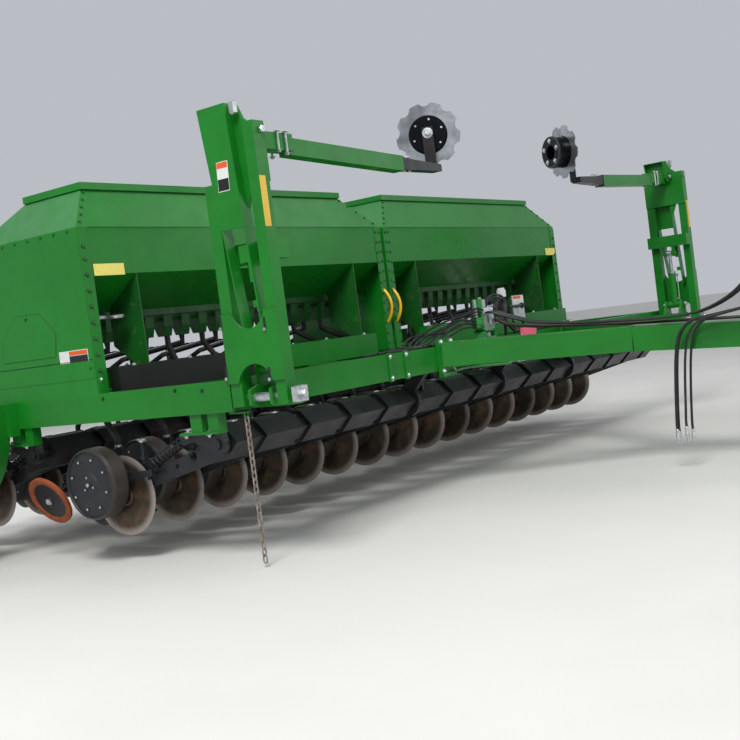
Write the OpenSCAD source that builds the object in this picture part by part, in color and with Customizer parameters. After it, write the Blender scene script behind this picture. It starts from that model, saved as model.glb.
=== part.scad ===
// Seed drill: two grain boxes over two ranks of single-disc openers, with folding row markers.
// Millimetres. X runs across the machine, Y towards the rear, Z up. The floor is at Z = 0,
// the front of the machine faces -Y, and its right-hand side is at -X.

/* [Rows] */
// Distance between neighbouring seed rows
row_pitch = 190.5; // [185:0.5:195]
// Least distance from a side of the frame in to the outer opener
row_edge = 90; // [85:1:92]
// Place of the front rank's blades behind the middle of the machine
front_rank_y = 700; // [690:5:710]
// Distance from the front rank's blades to the rear rank's
rank_gap = 1530; // [1500:5:1560]
// Diameter of an opener's blade
blade_d = 457; // [440:1:470]
// Thickness of an opener's blade
blade_t = 5; // [4:0.5:7]
// Height of the raised blades above the floor
blade_clearance = 150; // [140:1:180]
// Angle of a blade to the direction of travel
blade_yaw = 4; // [0:0.5:5]

/* [Frame] */
// Width over the side beams
frame_w = 5900; // [5880:5:5960]
// Height of the main beams
beam_h = 160; // [140:2:170]
// Thickness of the main beams
beam_t = 100; // [80:2:110]
// Underside of the main beams
beam_z = 810; // [800:2:820]
// Front face of the front beam
front_beam_y = -300; // [-305:1:-295]
// Front face of the middle beam
mid_beam_y = 1230; // [1200:5:1250]
// Front face of the rear beam
rear_beam_y = 1950; // [1930:5:1960]
// Place of the inner long beams on each side of the middle
long_beam_x = 1143; // [1130:1:1150]
// Width of an inner long beam
long_beam_w = 80; // [60:2:90]
// Height of an inner long beam
long_beam_h = 120; // [100:2:125]
// Step from the main beams' top down to the inner long beams' top
long_beam_drop = 20; // [10:2:30]

/* [Grain boxes] */
// Gap between the two grain boxes
box_gap = 40; // [36:2:60]
// Depth of a grain box from front to back
box_depth = 1000; // [960:5:1020]
// Thickness of the sheet metal
skin_t = 5; // [4:0.5:8]
// Lower edge of the box's front face
face_low = 1640; // [1620:5:1660]
// Fold between the box's face and its roof
fold_z = 1910; // [1880:5:1930]
// Upper edge of the box's roof
roof_z = 2150; // [2120:5:2180]
// Distance from the face in to the roof's front edge
roof_front = 80; // [70:2:100]
// Distance from the box's back in to the roof's rear edge
roof_rear = 450; // [420:5:460]
// Distance from the box's right end in to the roof's end
roof_steep = 140; // [120:5:160]
// Distance from the box's left end in to the roof's end
roof_shallow = 420; // [400:5:440]
// Underside of the seed trough
trough_z = 1440; // [1430:2:1460]
// Distance from the face to the trough
trough_y = 300; // [280:5:320]
// Width of the trough
trough_w = 250; // [220:5:280]
// Height of a sill that carries the boxes
sill_h = 155; // [140:5:160]
// Width of a sill
sill_w = 80; // [60:2:90]
// Width of the flanges at the corners of the end panels
flange_w = 80; // [60:2:90]
// Height of a lid
lid_h = 40; // [30:1:50]

/* [Feed] */
// Distance between neighbouring cups
cup_pitch = 158; // [150:1:160]
// Width of a cup
cup_w = 74; // [60:1:90]
// Diameter of a seed tube
tube_d = 38; // [30:1:42]

/* [Rockshafts] */
// Side of the square shaft that stands on its corner
shaft_side = 100; // [90:1:105]
// Height of the shaft's middle
shaft_z = 645; // [640:1:650]
// Distance from a rank's shaft back to its blades
shaft_lead = 830; // [820:2:840]
// Distance from a side of the frame in to the end of the shaft's square part
shaft_inset = 180; // [175:1:190]
// Diameter of a shaft's journals
journal_d = 60; // [50:1:70]
// Running clearance of journals, pins and spindles, on the radius
running = 0.05; // [0.02:0.01:0.1]

/* [Wheels] */
// Diameter of a carrying wheel's tyre
tyre_d = 760; // [740:5:790]
// Width of a tyre
tyre_w = 280; // [250:5:290]
// Diameter of a rim
rim_d = 400; // [380:5:420]
// Distance from a side of the frame out to a wheel's middle
wheel_out = 300; // [290:5:330]
// Place of the wheels' axle behind the middle of the machine
wheel_y = 2050; // [2030:5:2070]
// Diameter of a wheel's spindle
spindle_d = 70; // [60:1:80]

/* [Tongue] */
// Place of each diagonal's root on the front beam
tongue_root_x = 970; // [950:5:990]
// Place of the knee, where the diagonals meet the centre beam
tongue_knee_y = -1320; // [-1340:5:-1300]
// Half of the tongue's width at the knee
tongue_knee_x = 230; // [220:5:250]
// Front end of the tongue's beam
tongue_front_y = -2860; // [-2870:5:-2840]
// Height of the tongue's beams
tongue_h = 160; // [150:2:170]
// Downward slope of the tongue
tongue_slope = 3.3; // [3:0.1:3.5]
// Diameter of the hitch pin's hole
hitch_bore_d = 41; // [33:1:45]
// Height of the hitch
hitch_z = 520; // [500:5:560]
// Front end of the hitch
hitch_front_y = -2980; // [-3000:1:-2970]

/* [Jack] */
// Place of the jack along the tongue
jack_y = -2450; // [-2480:5:-2420]
// Place of the jack beside the tongue's middle
jack_x = 210; // [200:5:240]
// Outer diameter of the jack's tube
jack_tube_d = 76; // [70:1:90]
// Diameter of the jack's leg
jack_leg_d = 60; // [50:1:62]
// Travel of the jack's leg
jack_travel = 350; // [300:5:360]

/* [Markers] */
// Width of a post
post_w = 75; // [65:1:80]
// Front face of the rear post
rear_post_y = -385; // [-390:1:-380]
// Front face of the front post
front_post_y = -675; // [-680:1:-670]
// Height of the marker's foot pin
foot_pin_z = 870; // [865:1:880]
// Diameter of the foot pin
foot_pin_d = 44; // [38:1:48]
// Top of the front post
post_top = 2210; // [2200:5:2230]
// Top of the rear post
rear_post_top = 1948; // [1930:2:1960]
// Top of the tapered channel between the posts
channel_top = 2327; // [2310:1:2340]
// Height of the hinge between the marker's two sections
tip_pin_z = 2172; // [2168:1:2176]
// Distance from the posts' outer face in to that hinge
tip_pin_in = 125; // [122:1:130]
// Inner end of the folded second section
tip_end_x = 1020; // [1010:5:1030]
// Diameter of a marker's disc
disc_d = 410; // [400:5:420]
// Scallops round a marker's disc
disc_scallops = 9; // [8:1:10]
// Angle of a marker's disc to the direction of travel
disc_yaw = 30; // [25:1:35]

/* [Hidden] */
$fn = 48;

green = "#2b8536";
dark_green = "#1c6327";
black = "#23262b";
steel = "#9ba0a4";
rubber = "#1e1f20";
rust = "#8a5a3a";
yellow = "#f2cf1c";

rank_pitch = 2 * row_pitch;
front_rows = floor((frame_w - 2 * row_edge) / rank_pitch) + 1;
rear_rows = front_rows - 1;
cup_count = ceil((front_rows + rear_rows) / 2);
rear_rank_y = front_rank_y + rank_gap;
blade_z = blade_clearance + blade_d / 2;
front_xs = [for (i = [0 : front_rows - 1]) (i - (front_rows - 1) / 2) * rank_pitch];
rear_xs = [for (i = [0 : rear_rows - 1]) (i - (rear_rows - 1) / 2) * rank_pitch];
side_in = frame_w / 2 - beam_t;
beam_top = beam_z + beam_h;
long_beam_top = beam_top - long_beam_drop;
box_w = (frame_w - box_gap) / 2;
shaft_len = frame_w - 2 * shaft_inset;
wheel_x = frame_w / 2 + wheel_out;
marker_x = frame_w / 2;
tip_pin_x = marker_x - tip_pin_in;
box_y0 = front_rank_y;
box_y1 = box_y0 + box_depth;
right_box_x = -box_gap / 2 - box_w;
left_box_x = box_gap / 2;
sill_top = long_beam_top + sill_h;
shaft_front_y = front_rank_y - shaft_lead;
shaft_rear_y = rear_rank_y - shaft_lead;

// A block between two corners
module block(x0, x1, y0, y1, z0, z1) {
    translate([x0, y0, z0]) cube([x1 - x0, y1 - y0, z1 - z0]);
}

// A plate of thickness t from x on, whose outline is given as [y, z] points
module side_plate(x, t, outline) {
    translate([x, 0, 0]) rotate([90, 0, 90]) linear_extrude(t) polygon(outline);
}

// A plate of thickness t from y on, whose outline is given as [x, z] points
module cross_plate(y, t, outline) {
    translate([0, y + t, 0]) rotate([90, 0, 0]) linear_extrude(t) polygon(outline);
}

// A round bar along X
module bar_x(d, x0, x1, y, z) {
    translate([x0, y, z]) rotate([0, 90, 0]) cylinder(d = d, h = x1 - x0);
}

// A round bar along Y
module bar_y(d, x, y0, y1, z) {
    translate([x, y1, z]) rotate([90, 0, 0]) cylinder(d = d, h = y1 - y0);
}

// A round bar between two points
module rod(d, a, b) {
    v = b - a;
    translate(a) rotate([0, acos(v.z / norm(v)), atan2(v.y, v.x)]) cylinder(d = d, h = norm(v));
}

// The same piece on the left, for what is drawn on the right
module left_side() {
    mirror([1, 0, 0]) children();
}

// Main frame

strap_xs = [1355, 1530];

module front_beam() {
    color(green) {
        block(-frame_w / 2, frame_w / 2, front_beam_y, front_beam_y + beam_t, beam_z, beam_top);
        for (x = strap_xs, s = [-1, 1])
            block(s * x - 20, s * x + 20, front_beam_y - 8, front_beam_y + 8, beam_z - 8, beam_top + 8);
    }
}

module rear_beams() {
    color(green)
        for (y = [mid_beam_y, rear_beam_y])
            block(-side_in, side_in, y, y + beam_t, beam_z, beam_top);
}

module long_beams() {
    color(green) {
        for (s = [-1, 1])
            block(min(s * side_in, s * frame_w / 2), max(s * side_in, s * frame_w / 2),
                front_beam_y + beam_t, rear_beam_y + beam_t, beam_z, beam_top);
        for (x = [-long_beam_x, 0, long_beam_x], span = [[front_beam_y + beam_t, mid_beam_y],
                [mid_beam_y + beam_t, rear_beam_y]])
            block(x - long_beam_w / 2, x + long_beam_w / 2, span[0], span[1],
                long_beam_top - long_beam_h, long_beam_top);
    }
}

// Rockshafts: a square tube on its corner, with a saddle casting over each opener's arm

corner = shaft_side / sqrt(2);
saddle_w = 300;
collar_w = 56;
collar_d = 150;
// Collars stand midway between two rows
function collars(rows) = [for (f = [0.3, 0.5, 0.7]) (floor(f * (rows - 1)) + 1 - rows / 2) * rank_pitch];
front_collars = collars(front_rows);
rear_collars = collars(rear_rows);
hanger_w = 40;
saddle_reach = 215;
saddle_end = shaft_len / 2 + 95;

// Outlines from the shaft's middle as [y, z]: casting, rear ear, cheek at the arm's pivot, spring horn
saddle = [[-92, 0], [-18, 84], [30, 96], [92, 34], [saddle_reach, -40], [saddle_reach, -110],
    [185, -118], [60, -96], [0, -92]];
saddle_ear = [[150, -108], [150, -45], [saddle_reach, -40], [saddle_reach, -110]];
cheek = [[200, -40], [285, -30], [302, -62], [285, -100], [200, -110]];
horn = [[112, -20], [112, 62], [220, 86], [345, 62], [361.8, 45], [337.6, -7.8], [240, 15],
    [214.5, -25], [214.5, -60], [152, -60]];
pivot = [262, -66];

module rockshaft(y, xs, collars) {
    color(black) {
        translate([-shaft_len / 2, y, shaft_z]) rotate([0, 90, 0]) rotate([0, 0, 45])
            translate([-shaft_side / 2, -shaft_side / 2, 0]) cube([shaft_side, shaft_side, shaft_len]);
        for (s = [-1, 1])
            bar_x(journal_d, s > 0 ? shaft_len / 2 : -frame_w / 2 + 20,
                s > 0 ? frame_w / 2 - 20 : -shaft_len / 2, y, shaft_z);
        for (x = collars)
            bar_x(collar_d, x - collar_w / 2, x + collar_w / 2, y, shaft_z);
        for (x = xs)
            translate([0, y, shaft_z]) {
                low = max(x - saddle_w / 2, -saddle_end);
                side_plate(low, min(x + saddle_w / 2, saddle_end) - low, saddle);
                side_plate(x, arm_x + arm_t + 24, saddle_ear);
                side_plate(x + arm_x - 14, 12, cheek);
                side_plate(x + arm_x + arm_t + 2, 12, cheek);
                side_plate(x + arm_x - 2, arm_t + 4, horn);
                bar_x(46, x + arm_x - 24, x + arm_x - 10, pivot[0], pivot[1]);
                bar_x(46, x + arm_x + arm_t + 10, x + arm_x + arm_t + 24, pivot[0], pivot[1]);
            }
        lift_crank(y);
        left_side() lift_crank(y);
    }
}

// Pedestal under a side beam: webs on a flange plate, each with its ends behind the shaft's middle.
// On the left the outer opener's arm leaves room for a short one only.
pedestal_webs = [[-44, 29], [74, 157]];
pedestal_end = 240;
short_webs = [[-44, 29]];
short_end = 80;
pedestal_t = 14;
pedestal_z = 716;
pedestal_x = [15, 77];

module pedestal(y, webs, end) {
    x = pedestal_x - [1, 1] * frame_w / 2;
    for (w = webs)
        block(x[0], x[1], y + w[0], y + w[1], pedestal_z, beam_z);
    block(x[0] - 8, x[1], y + webs[0][0], y + end, pedestal_z - pedestal_t, pedestal_z);
}

module bearing_end(y, end) {
    low = pedestal_z - pedestal_t;
    x = -frame_w / 2 + 30;
    difference() {
        union() {
            side_plate(x, hanger_w, [[y - 44, low], [y - 54, shaft_z], [y - 20, shaft_z - 50],
                [y + 40, shaft_z - 36], [y + end / 2 + 20, shaft_z + 10], [y + end - 5, low - 16],
                [y + end - 5, low]]);
            bar_x(2 * (low - shaft_z) - 2, x, x + hanger_w, y, shaft_z);
        }
        bar_x(journal_d + 2 * running, -frame_w / 2, -side_in, y, shaft_z);
    }
}

module hanger_collar(x, y, face_y) {
    difference() {
        union() {
            side_plate(x - hanger_w / 2, hanger_w, [[y - 70, shaft_z + 60], [face_y, beam_z],
                [face_y + beam_t, beam_z], [y + 90, shaft_z + 40]]);
            bar_x(collar_d + 50, x - hanger_w / 2, x + hanger_w / 2, y, shaft_z);
        }
        bar_x(collar_d + 2 * running, x - hanger_w, x + hanger_w, y, shaft_z);
    }
}

module shaft_hangers() {
    color(green)
        for (y = [shaft_front_y, shaft_rear_y]) {
            pedestal(y, pedestal_webs, pedestal_end);
            left_side() pedestal(y, short_webs, short_end);
        }
}

module shaft_bearings() {
    color(black) {
        for (y = [shaft_front_y, shaft_rear_y]) {
            bearing_end(y, pedestal_end);
            left_side() bearing_end(y, short_end);
        }
        for (x = front_collars)
            hanger_collar(x, shaft_front_y, front_beam_y);
        for (x = rear_collars)
            hanger_collar(x, shaft_rear_y, mid_beam_y);
    }
}

// Openers. Each is drawn with its blade's middle at the origin.

arm_t = 36;
arm_x = 22;
gauge_d = 406;
gauge_w = 125;
gauge_x = -38;
gauge_at = [105, 91];
press_d = 250;
press_at = [330, -70];
closing_d = 300;
closing_x = -60;
closing_at = [600, -11];
closing_camber = 25;
closing_half = 15;

// Arm outline, as [y, z] from the blade's middle
arm_outline = [[-shaft_lead + saddle_reach + 0.3, 157], [-shaft_lead + saddle_reach + 0.3, 226],
    [-590, 236], [-300, 150], [-120, 112], [60, 96], [130, 60], [120, -10], [40, -46], [-30, -40],
    [-130, 20], [-330, 70], [-610, 140]];
tail_outline = [[60, 90], [200, 96], [420, 82], [560, 76], [622, 74], [632, 48], [622, 20], [590, 16],
    [400, -4], [330, -90], [300, -90], [240, 30], [60, 30]];
boot_outline = [[70, 60], [60, 230], [50, 262], [130, 262], [118, 220], [125, 60], [165, -190],
    [120, -205]];

spring_foot = [[-241.4, 144.4], [-218, 195.4], [-190, 200], [-135, 150], [-135, 100], [-235, 120]];

module opener_arm() {
    x1 = arm_x + arm_t;
    side_plate(arm_x, arm_t, arm_outline);
    side_plate(x1, 22, tail_outline);
    side_plate(x1, 34, boot_outline);
    side_plate(arm_x + 4, arm_t - 8, spring_foot);
    translate([arm_x + arm_t / 2, -150, 120]) cylinder(d = 26, h = 170);
    translate([arm_x + arm_t / 2, -150, 196]) cylinder(d = 46, h = 14);
    bar_x(36, gauge_x + 4, arm_x, -262, 128);
    side_plate(gauge_x + 4, 12, [[-280, 110], [-280, 146], [60, 118], [112, 120], [134, 102], [134, 78],
        [112, 62], [70, 62]]);
    bar_x(44, gauge_x - 15.7, gauge_x + 6, gauge_at[0], gauge_at[1]);
    rotate([0, 0, blade_yaw]) bar_x(56, 10.3, arm_x + 6, 0, 0);
    bar_x(56, arm_x + 6, x1 + 14, 0, 0);
    bar_x(40, x1 + 20, x1 + 23.7, press_at[0], press_at[1]);
    closing_place() bar_x(30, closing_half + 0.3, (x1 + 11 - closing_x) / cos(closing_camber), 0, 0);
}

module opener_spring() {
    a = [arm_x + 18, -230, 170];
    b = [arm_x + 18, -480, 285];
    v = b - a;
    turns = 9;
    pitch = norm(v) / turns;
    translate(a) rotate([0, acos(v.z / norm(v)), atan2(v.y, v.x)]) rotate_extrude($fn = 20)
        polygon(concat([[0, 0]], [for (i = [0 : turns - 1], p = [[20, 0], [29, 0.3], [29, 0.7]])
            [p[0], (i + p[1]) * pitch]], [[20, norm(v)], [0, norm(v)]]));
}

module opener_blade() {
    rotate([0, 0, blade_yaw]) rotate([0, 90, 0]) rotate_extrude($fn = 64)
        polygon([[0, -10], [50, -10], [60, -blade_t / 2], [blade_d / 2 - 30, -blade_t / 2],
            [blade_d / 2, -0.6], [blade_d / 2, 0.6], [blade_d / 2 - 30, blade_t / 2],
            [60, blade_t / 2], [50, 10], [0, 10]]);
}

module gauge_wheel() {
    translate([gauge_x, gauge_at[0], gauge_at[1]]) rotate([0, -90, 0]) rotate_extrude($fn = 40)
        polygon([[0, 16], [60, 16], [150, 60], [178, 60], [178, 0], [gauge_d / 2 - 8, 0],
            [gauge_d / 2, 14], [gauge_d / 2, gauge_w - 22], [gauge_d / 2 - 8, gauge_w - 4],
            [gauge_d / 2 - 16, gauge_w], [gauge_d / 2 - 22, gauge_w - 12], [70, gauge_w - 8],
            [62, gauge_w - 2], [0, gauge_w - 2]]);
}

module closing_place() {
    translate([closing_x, closing_at[0], closing_at[1]]) rotate([0, -closing_camber, 0]) children();
}

module closing_wheels_of_row() {
    h = closing_half;
    closing_place() rotate([0, 90, 0]) rotate_extrude($fn = 36)
        polygon([[0, -h], [30, -h], [34, -5], [118, -5], [126, 2 - h], [closing_d / 2, 4 - h],
            [closing_d / 2, h - 4], [126, h - 2], [118, 5], [34, 5], [30, h], [0, h]]);
    translate([arm_x + arm_t + 24, press_at[0], press_at[1]]) rotate([0, 90, 0])
        cylinder(d = press_d, h = 26, $fn = 36);
}

module at_rows(y, xs) {
    for (x = xs)
        translate([x, y, blade_z]) children();
}

// Grain boxes

function shell_outline(t) = [
    [box_y0 + skin_t + t, face_low + (t > 0 ? 4 : 0)],
    [box_y0 + skin_t + t, fold_z],
    [box_y1 - skin_t - t, fold_z],
    [box_y1 - skin_t - t, face_low + (t > 0 ? 4 : 0)],
    [box_y0 + trough_y + trough_w - t, trough_z + t],
    [box_y0 + trough_y + t, trough_z + t]
];

module hopper(x0) {
    color(green) difference() {
        side_plate(x0 + skin_t, box_w - 2 * skin_t, shell_outline(0));
        side_plate(x0, box_w, concat([shell_outline(skin_t)[0],
            [box_y0 + 2 * skin_t, fold_z + 1], [box_y1 - 2 * skin_t, fold_z + 1]],
            [for (i = [3 : 5]) shell_outline(skin_t)[i]]));
    }
}

// A four-sided stump between two rectangles, each [x0, x1, y0, y1, z]
module stump(low, high) {
    polyhedron(points = [for (r = [low, high]) each [[r[0], r[2], r[4]], [r[1], r[2], r[4]],
            [r[1], r[3], r[4]], [r[0], r[3], r[4]]]],
        faces = [[0, 1, 2, 3], [7, 6, 5, 4], [4, 5, 1, 0], [5, 6, 2, 1], [6, 7, 3, 2], [7, 4, 0, 3]]);
}

// Middles of the hinges along a lid
function hinge_places(rim) = [for (t = [0.12, 0.5, 0.88]) rim[0] + t * (rim[1] - rim[0])];

module box_roof(x0) {
    low = [x0, x0 + box_w, box_y0, box_y1, fold_z];
    high = [x0 + roof_steep, x0 + box_w - roof_shallow, box_y0 + roof_front, box_y1 - roof_rear, roof_z];
    inset = [skin_t, -skin_t, skin_t, -skin_t, 0];
    rim = roof_z + lid_h - lid_flange - skin_t - 0.5;
    hinge = [lid_hinge_y, lid_hinge_z];
    difference() {
        union() {
            stump(low, high);
            block(high[0], high[1], high[2], high[3], roof_z - 1, rim);
            for (x = hinge_places(high))
                translate([-25, 0, 0]) {
                    side_plate(x, 50, [hinge - [8, 0], hinge + [8, 0], hinge + [14, -60], hinge - [14, 40]]);
                    bar_x(16, x, x + 50, lid_hinge_y, lid_hinge_z);
                }
        }
        stump(low + 2 * inset - [0, 0, 0, 0, 1], high + inset + [0, 0, 0, 0, 1]);
        block(high[0] + skin_t, high[1] - skin_t, high[2] + skin_t, high[3] - skin_t, roof_z - 5, rim + 1);
    }
}

module box_roofs() {
    color(green) {
        box_roof(right_box_x);
        box_roof(left_box_x);
    }
}

module box_end(x0, s, rear_foot) {
    x1 = x0 + s * skin_t;
    x2 = x0 + s * flange_w;
    block(min(x0, x1), max(x0, x1), box_y0, box_y1, beam_top, fold_z);
    block(min(x0, x2), max(x0, x2), box_y0, box_y0 + skin_t, beam_top, fold_z);
    block(min(x0, x2), max(x0, x2), box_y1 - skin_t, box_y1, rear_foot, fold_z);
}

// The inner panels' rear flanges end above the seed tubes
module box_ends() {
    high = cup_z - 10;
    color(green) {
        box_end(right_box_x, 1, beam_top);
        box_end(right_box_x + box_w, -1, high);
        box_end(left_box_x, 1, high);
        box_end(left_box_x + box_w, -1, beam_top);
    }
}

divider_in = 400;

// Height of the hopper's front slope at a place along Y
function slope_z(y) = face_low - (y - box_y0 - skin_t) * (face_low - trough_z) / (trough_y - skin_t);

module box_dividers() {
    y0 = box_y0 + 0.3;
    y1 = box_y0 + trough_y - 20;
    color(dark_green)
        for (x0 = [right_box_x, left_box_x], x = [x0 + divider_in, x0 + box_w - divider_in])
            side_plate(x, 8, [[y0, long_beam_top + 20], [y0, sill_top], [y0 + skin_t, face_low - 0.5],
                [y1, slope_z(y1) - 0.5], [y1, cup_z - 30], [y0 + 100, sill_top],
                [y0 + 60, long_beam_top + 20]]);
}

module box_sills() {
    color(green)
        for (y = [box_y0 - sill_w, box_y1], s = [-1, 1])
            block(s > 0 ? 350 : -side_in, s > 0 ? side_in : -350, y, y + sill_w,
                long_beam_top, sill_top);
}

// The lid's flange stands outside the roof's rim, further out where the roof is shallow
lid_over = 20;
lid_over_shallow = 36;
lid_flange = 15;
lid_hinge_y = box_y1 - roof_rear + lid_over_shallow + 12;
lid_hinge_z = roof_z - 8;

module lid(x0) {
    x = [x0 + roof_steep - lid_over, x0 + box_w - roof_shallow + lid_over_shallow];
    y = [box_y0 + roof_front - lid_over, box_y1 - roof_rear + lid_over_shallow];
    color(green) difference() {
        block(x[0], x[1], y[0], y[1], roof_z - lid_flange, roof_z + lid_h - lid_flange);
        block(x[0] + skin_t, x[1] - skin_t, y[0] + skin_t, y[1] - skin_t,
            roof_z - lid_h, roof_z + lid_h - lid_flange - skin_t);
    }
    color(green)
        for (h = hinge_places([x0 + roof_steep, x0 + box_w - roof_shallow]), dx = [-57, 27])
            translate([h + dx, 0, 0]) {
                side_plate(0, 30, [[y[1] - 2, roof_z - 12], [y[1] - 2, roof_z + 15],
                    [lid_hinge_y + 6, lid_hinge_z + 5], [lid_hinge_y - 5, lid_hinge_z - 6]]);
                bar_x(16, 0, 30, lid_hinge_y, lid_hinge_z);
            }
}

// Feed: one rail with cups under each trough

cup_y = box_y0 + trough_y + 40;
cup_z = trough_z - 180;

function cup_x(x0, i) = x0 + (box_w - (cup_count - 1) * cup_pitch) / 2 + i * cup_pitch;

module feed_cups() {
    for (x0 = [right_box_x, left_box_x]) {
        color(dark_green) {
            block(x0 + 60, x0 + box_w - 60, cup_y - 30, cup_y + 110, trough_z - 8, trough_z);
            block(x0 + 60, x0 + box_w - 60, cup_y - 38, cup_y - 30, trough_z - 40, trough_z);
            for (i = [0 : cup_count - 1])
                side_plate(cup_x(x0, i) - cup_w / 2, cup_w, [[cup_y - 20, trough_z - 8],
                    [cup_y + 90, trough_z - 8], [cup_y + 90, cup_z + 70], [cup_y + 60, cup_z],
                    [cup_y + 10, cup_z], [cup_y - 10, cup_z + 60]]);
        }
        color(steel) bar_x(22, x0 + 70, x0 + box_w - 70, cup_y + 30, trough_z - 70);
    }
}

// Seed tubes: each runs from a cup down to the boot of its row's opener

boot_top = [arm_x + arm_t + 17, 92, 262];
cups_right = [for (i = [0 : cup_count - 1]) cup_x(right_box_x, i)];
cups_left = [for (i = [0 : cup_count - 1]) cup_x(left_box_x, i)];
cup_xs = concat(cups_right, cups_left);

// Place across the machine of the cup that feeds row r, counted over both ranks from the right
function feed_x(r) = cup_xs[round(r * (2 * cup_count - 1) / (front_rows + rear_rows - 1))];

module seed_tube(points) {
    hose(points, tube_d);
}

module seed_tubes_front() {
    y = front_rank_y + boot_top[1];
    end_z = blade_z + boot_top[2] + 0.4;
    color(black)
        for (i = [0 : front_rows - 1]) {
            x = front_xs[i] + boot_top[0];
            near_x = min(x, side_in - tube_d);
            seed_tube([[feed_x(2 * i), cup_y + 15, cup_z - 0.3], [feed_x(2 * i), cup_y + 15, cup_z - 60],
                [near_x, cup_y - 40, sill_top - 45], [near_x, y + 60, beam_z - 30],
                [x, y, end_z + 50], [x, y, end_z]]);
        }
}

module seed_tubes_rear() {
    y = rear_rank_y + boot_top[1];
    end_z = blade_z + boot_top[2] + 0.4;
    color(black)
        for (i = [0 : rear_rows - 1]) {
            x = rear_xs[i] + boot_top[0];
            cup = feed_x(2 * i + 1);
            seed_tube([[cup, cup_y + 45, cup_z - 0.3], [cup, cup_y + 45, cup_z - 50],
                [x, box_y1 + sill_w / 2, sill_top + 42], [x, rear_beam_y + 50, beam_top + 70],
                [x, rear_beam_y + 230, beam_top - 70], [x, y, end_z + 60], [x, y, end_z]]);
        }
}

// Tongue

tongue_z = beam_z + 25;
tongue_bend = [150, -1990];
tongue_nose_x = 70;
tongue_root_w = 130;
jack_pad_x = 130;
jack_pad_bite = 10;
// Bar that holds the hoses up above the tongue
holder_y = -2290;
holder_z = 1298;

module on_slope() {
    translate([0, front_beam_y, tongue_z]) rotate([tongue_slope, 0, 0]) translate([0, -front_beam_y, 0])
        children();
}

module tongue_plan() {
    root = [tongue_root_x, front_beam_y - 20];
    inner = [tongue_root_x - tongue_root_w, front_beam_y - 20];
    knee = [tongue_knee_x, tongue_knee_y];
    nose = [tongue_nose_x, tongue_front_y];
    tip = [tongue_nose_x, tongue_front_y - 20];
    right = [root, knee, tongue_bend, nose, tip];
    difference() {
        polygon(concat([for (i = [0 : 4]) [-right[i].x, right[i].y]], [for (i = [4 : -1 : 0]) right[i]],
            [inner, [-inner.x, inner.y]]));
        polygon([[-inner.x, front_beam_y], [-90, tongue_knee_y + 90], [90, tongue_knee_y + 90],
            [inner.x, front_beam_y]]);
    }
}

module tongue() {
    color(green) {
        difference() {
            on_slope() linear_extrude(tongue_h) tongue_plan();
            block(-100, 100, tongue_front_y - 60, tongue_front_y, 500, 1000);
        }
        for (s = [-1, 1])
            block(s * (tongue_root_x - 65) - 90, s * (tongue_root_x - 65) + 90, front_beam_y - 24,
                front_beam_y, beam_z - 45, beam_top + 45);
        block(tongue_nose_x - jack_pad_bite, jack_pad_x, jack_y - 50, jack_y + 50, 730, 840);
    }
    color(black) {
        translate([-60, holder_y, 860]) cylinder(d = 26, h = holder_z - 860);
        bar_x(22, -250, -60, holder_y, holder_z);
        for (x = [-250, -60])
            translate([x, holder_y, holder_z]) sphere(d = 22);
        translate([-250, holder_y, holder_z]) cylinder(d = 18, h = 60);
    }
}

module hitch() {
    color(green) difference() {
        union() {
            block(-70, 70, tongue_front_y - 20, tongue_front_y, hitch_z - 60, 860);
            for (z = [hitch_z - 55, hitch_z + 30])
                block(-60, 60, hitch_front_y + 60, tongue_front_y - 20, z, z + 25);
            for (z = [hitch_z - 55, hitch_z + 30])
                translate([0, hitch_front_y + 60, z]) cylinder(r = 60, h = 25);
        }
        translate([0, hitch_front_y + 60, hitch_z - 80]) cylinder(d = hitch_bore_d, h = 160);
    }
}

// Jack beside the tongue

jack_top = 1180;
jack_low = 480;

module jack_tube() {
    color(black) {
        difference() {
            translate([jack_x, jack_y, jack_low]) cylinder(d = jack_tube_d, h = jack_top - jack_low);
            translate([jack_x, jack_y, jack_low - 1])
                cylinder(d = jack_leg_d + 2 * running, h = jack_top - jack_low - 19);
        }
        block(jack_pad_x, jack_x - jack_tube_d / 2 + 4, jack_y - 50, jack_y + 50, 730, 830);
    }
}

module jack_leg() {
    color(steel) {
        translate([jack_x, jack_y, 12]) cylinder(d = jack_leg_d, h = jack_top - 20 - jack_travel - 20);
        translate([jack_x, jack_y, 0]) cylinder(d = 220, h = 12);
    }
}

// Carrying wheels

arm_r = 520;
wheel_arm_w = 100;
arm_in = 45;

module wheel_arm() {
    axle_z = tyre_d / 2;
    color(green) {
        difference() {
            translate([-frame_w / 2 - arm_in - 90, wheel_y, axle_z + arm_r]) rotate([0, 90, 0])
                cylinder(r = arm_r + wheel_arm_w / 2, h = 90, $fn = 96);
            translate([-frame_w / 2 - arm_in - 100, wheel_y, axle_z + arm_r]) rotate([0, 90, 0])
                cylinder(r = arm_r - wheel_arm_w / 2, h = 110, $fn = 96);
            block(-frame_w, 0, wheel_y, wheel_y + 2 * arm_r, 0, 3 * arm_r);
            block(-frame_w, 0, wheel_y - 2 * arm_r, wheel_y + 2 * arm_r, beam_top, 3 * arm_r);
        }
        block(-frame_w / 2 - arm_in - 20, -frame_w / 2, wheel_y - arm_r - 80, wheel_y - arm_r + 120,
            beam_z - 40, beam_top);
        bar_x(110, -frame_w / 2 - arm_in - 90, -frame_w / 2 - arm_in, wheel_y, axle_z);
    }
    color(steel) bar_x(spindle_d, -wheel_x - 60, -frame_w / 2 - arm_in - 60, wheel_y, axle_z);
}

module wheel_arms() {
    wheel_arm();
    left_side() wheel_arm();
}

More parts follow.
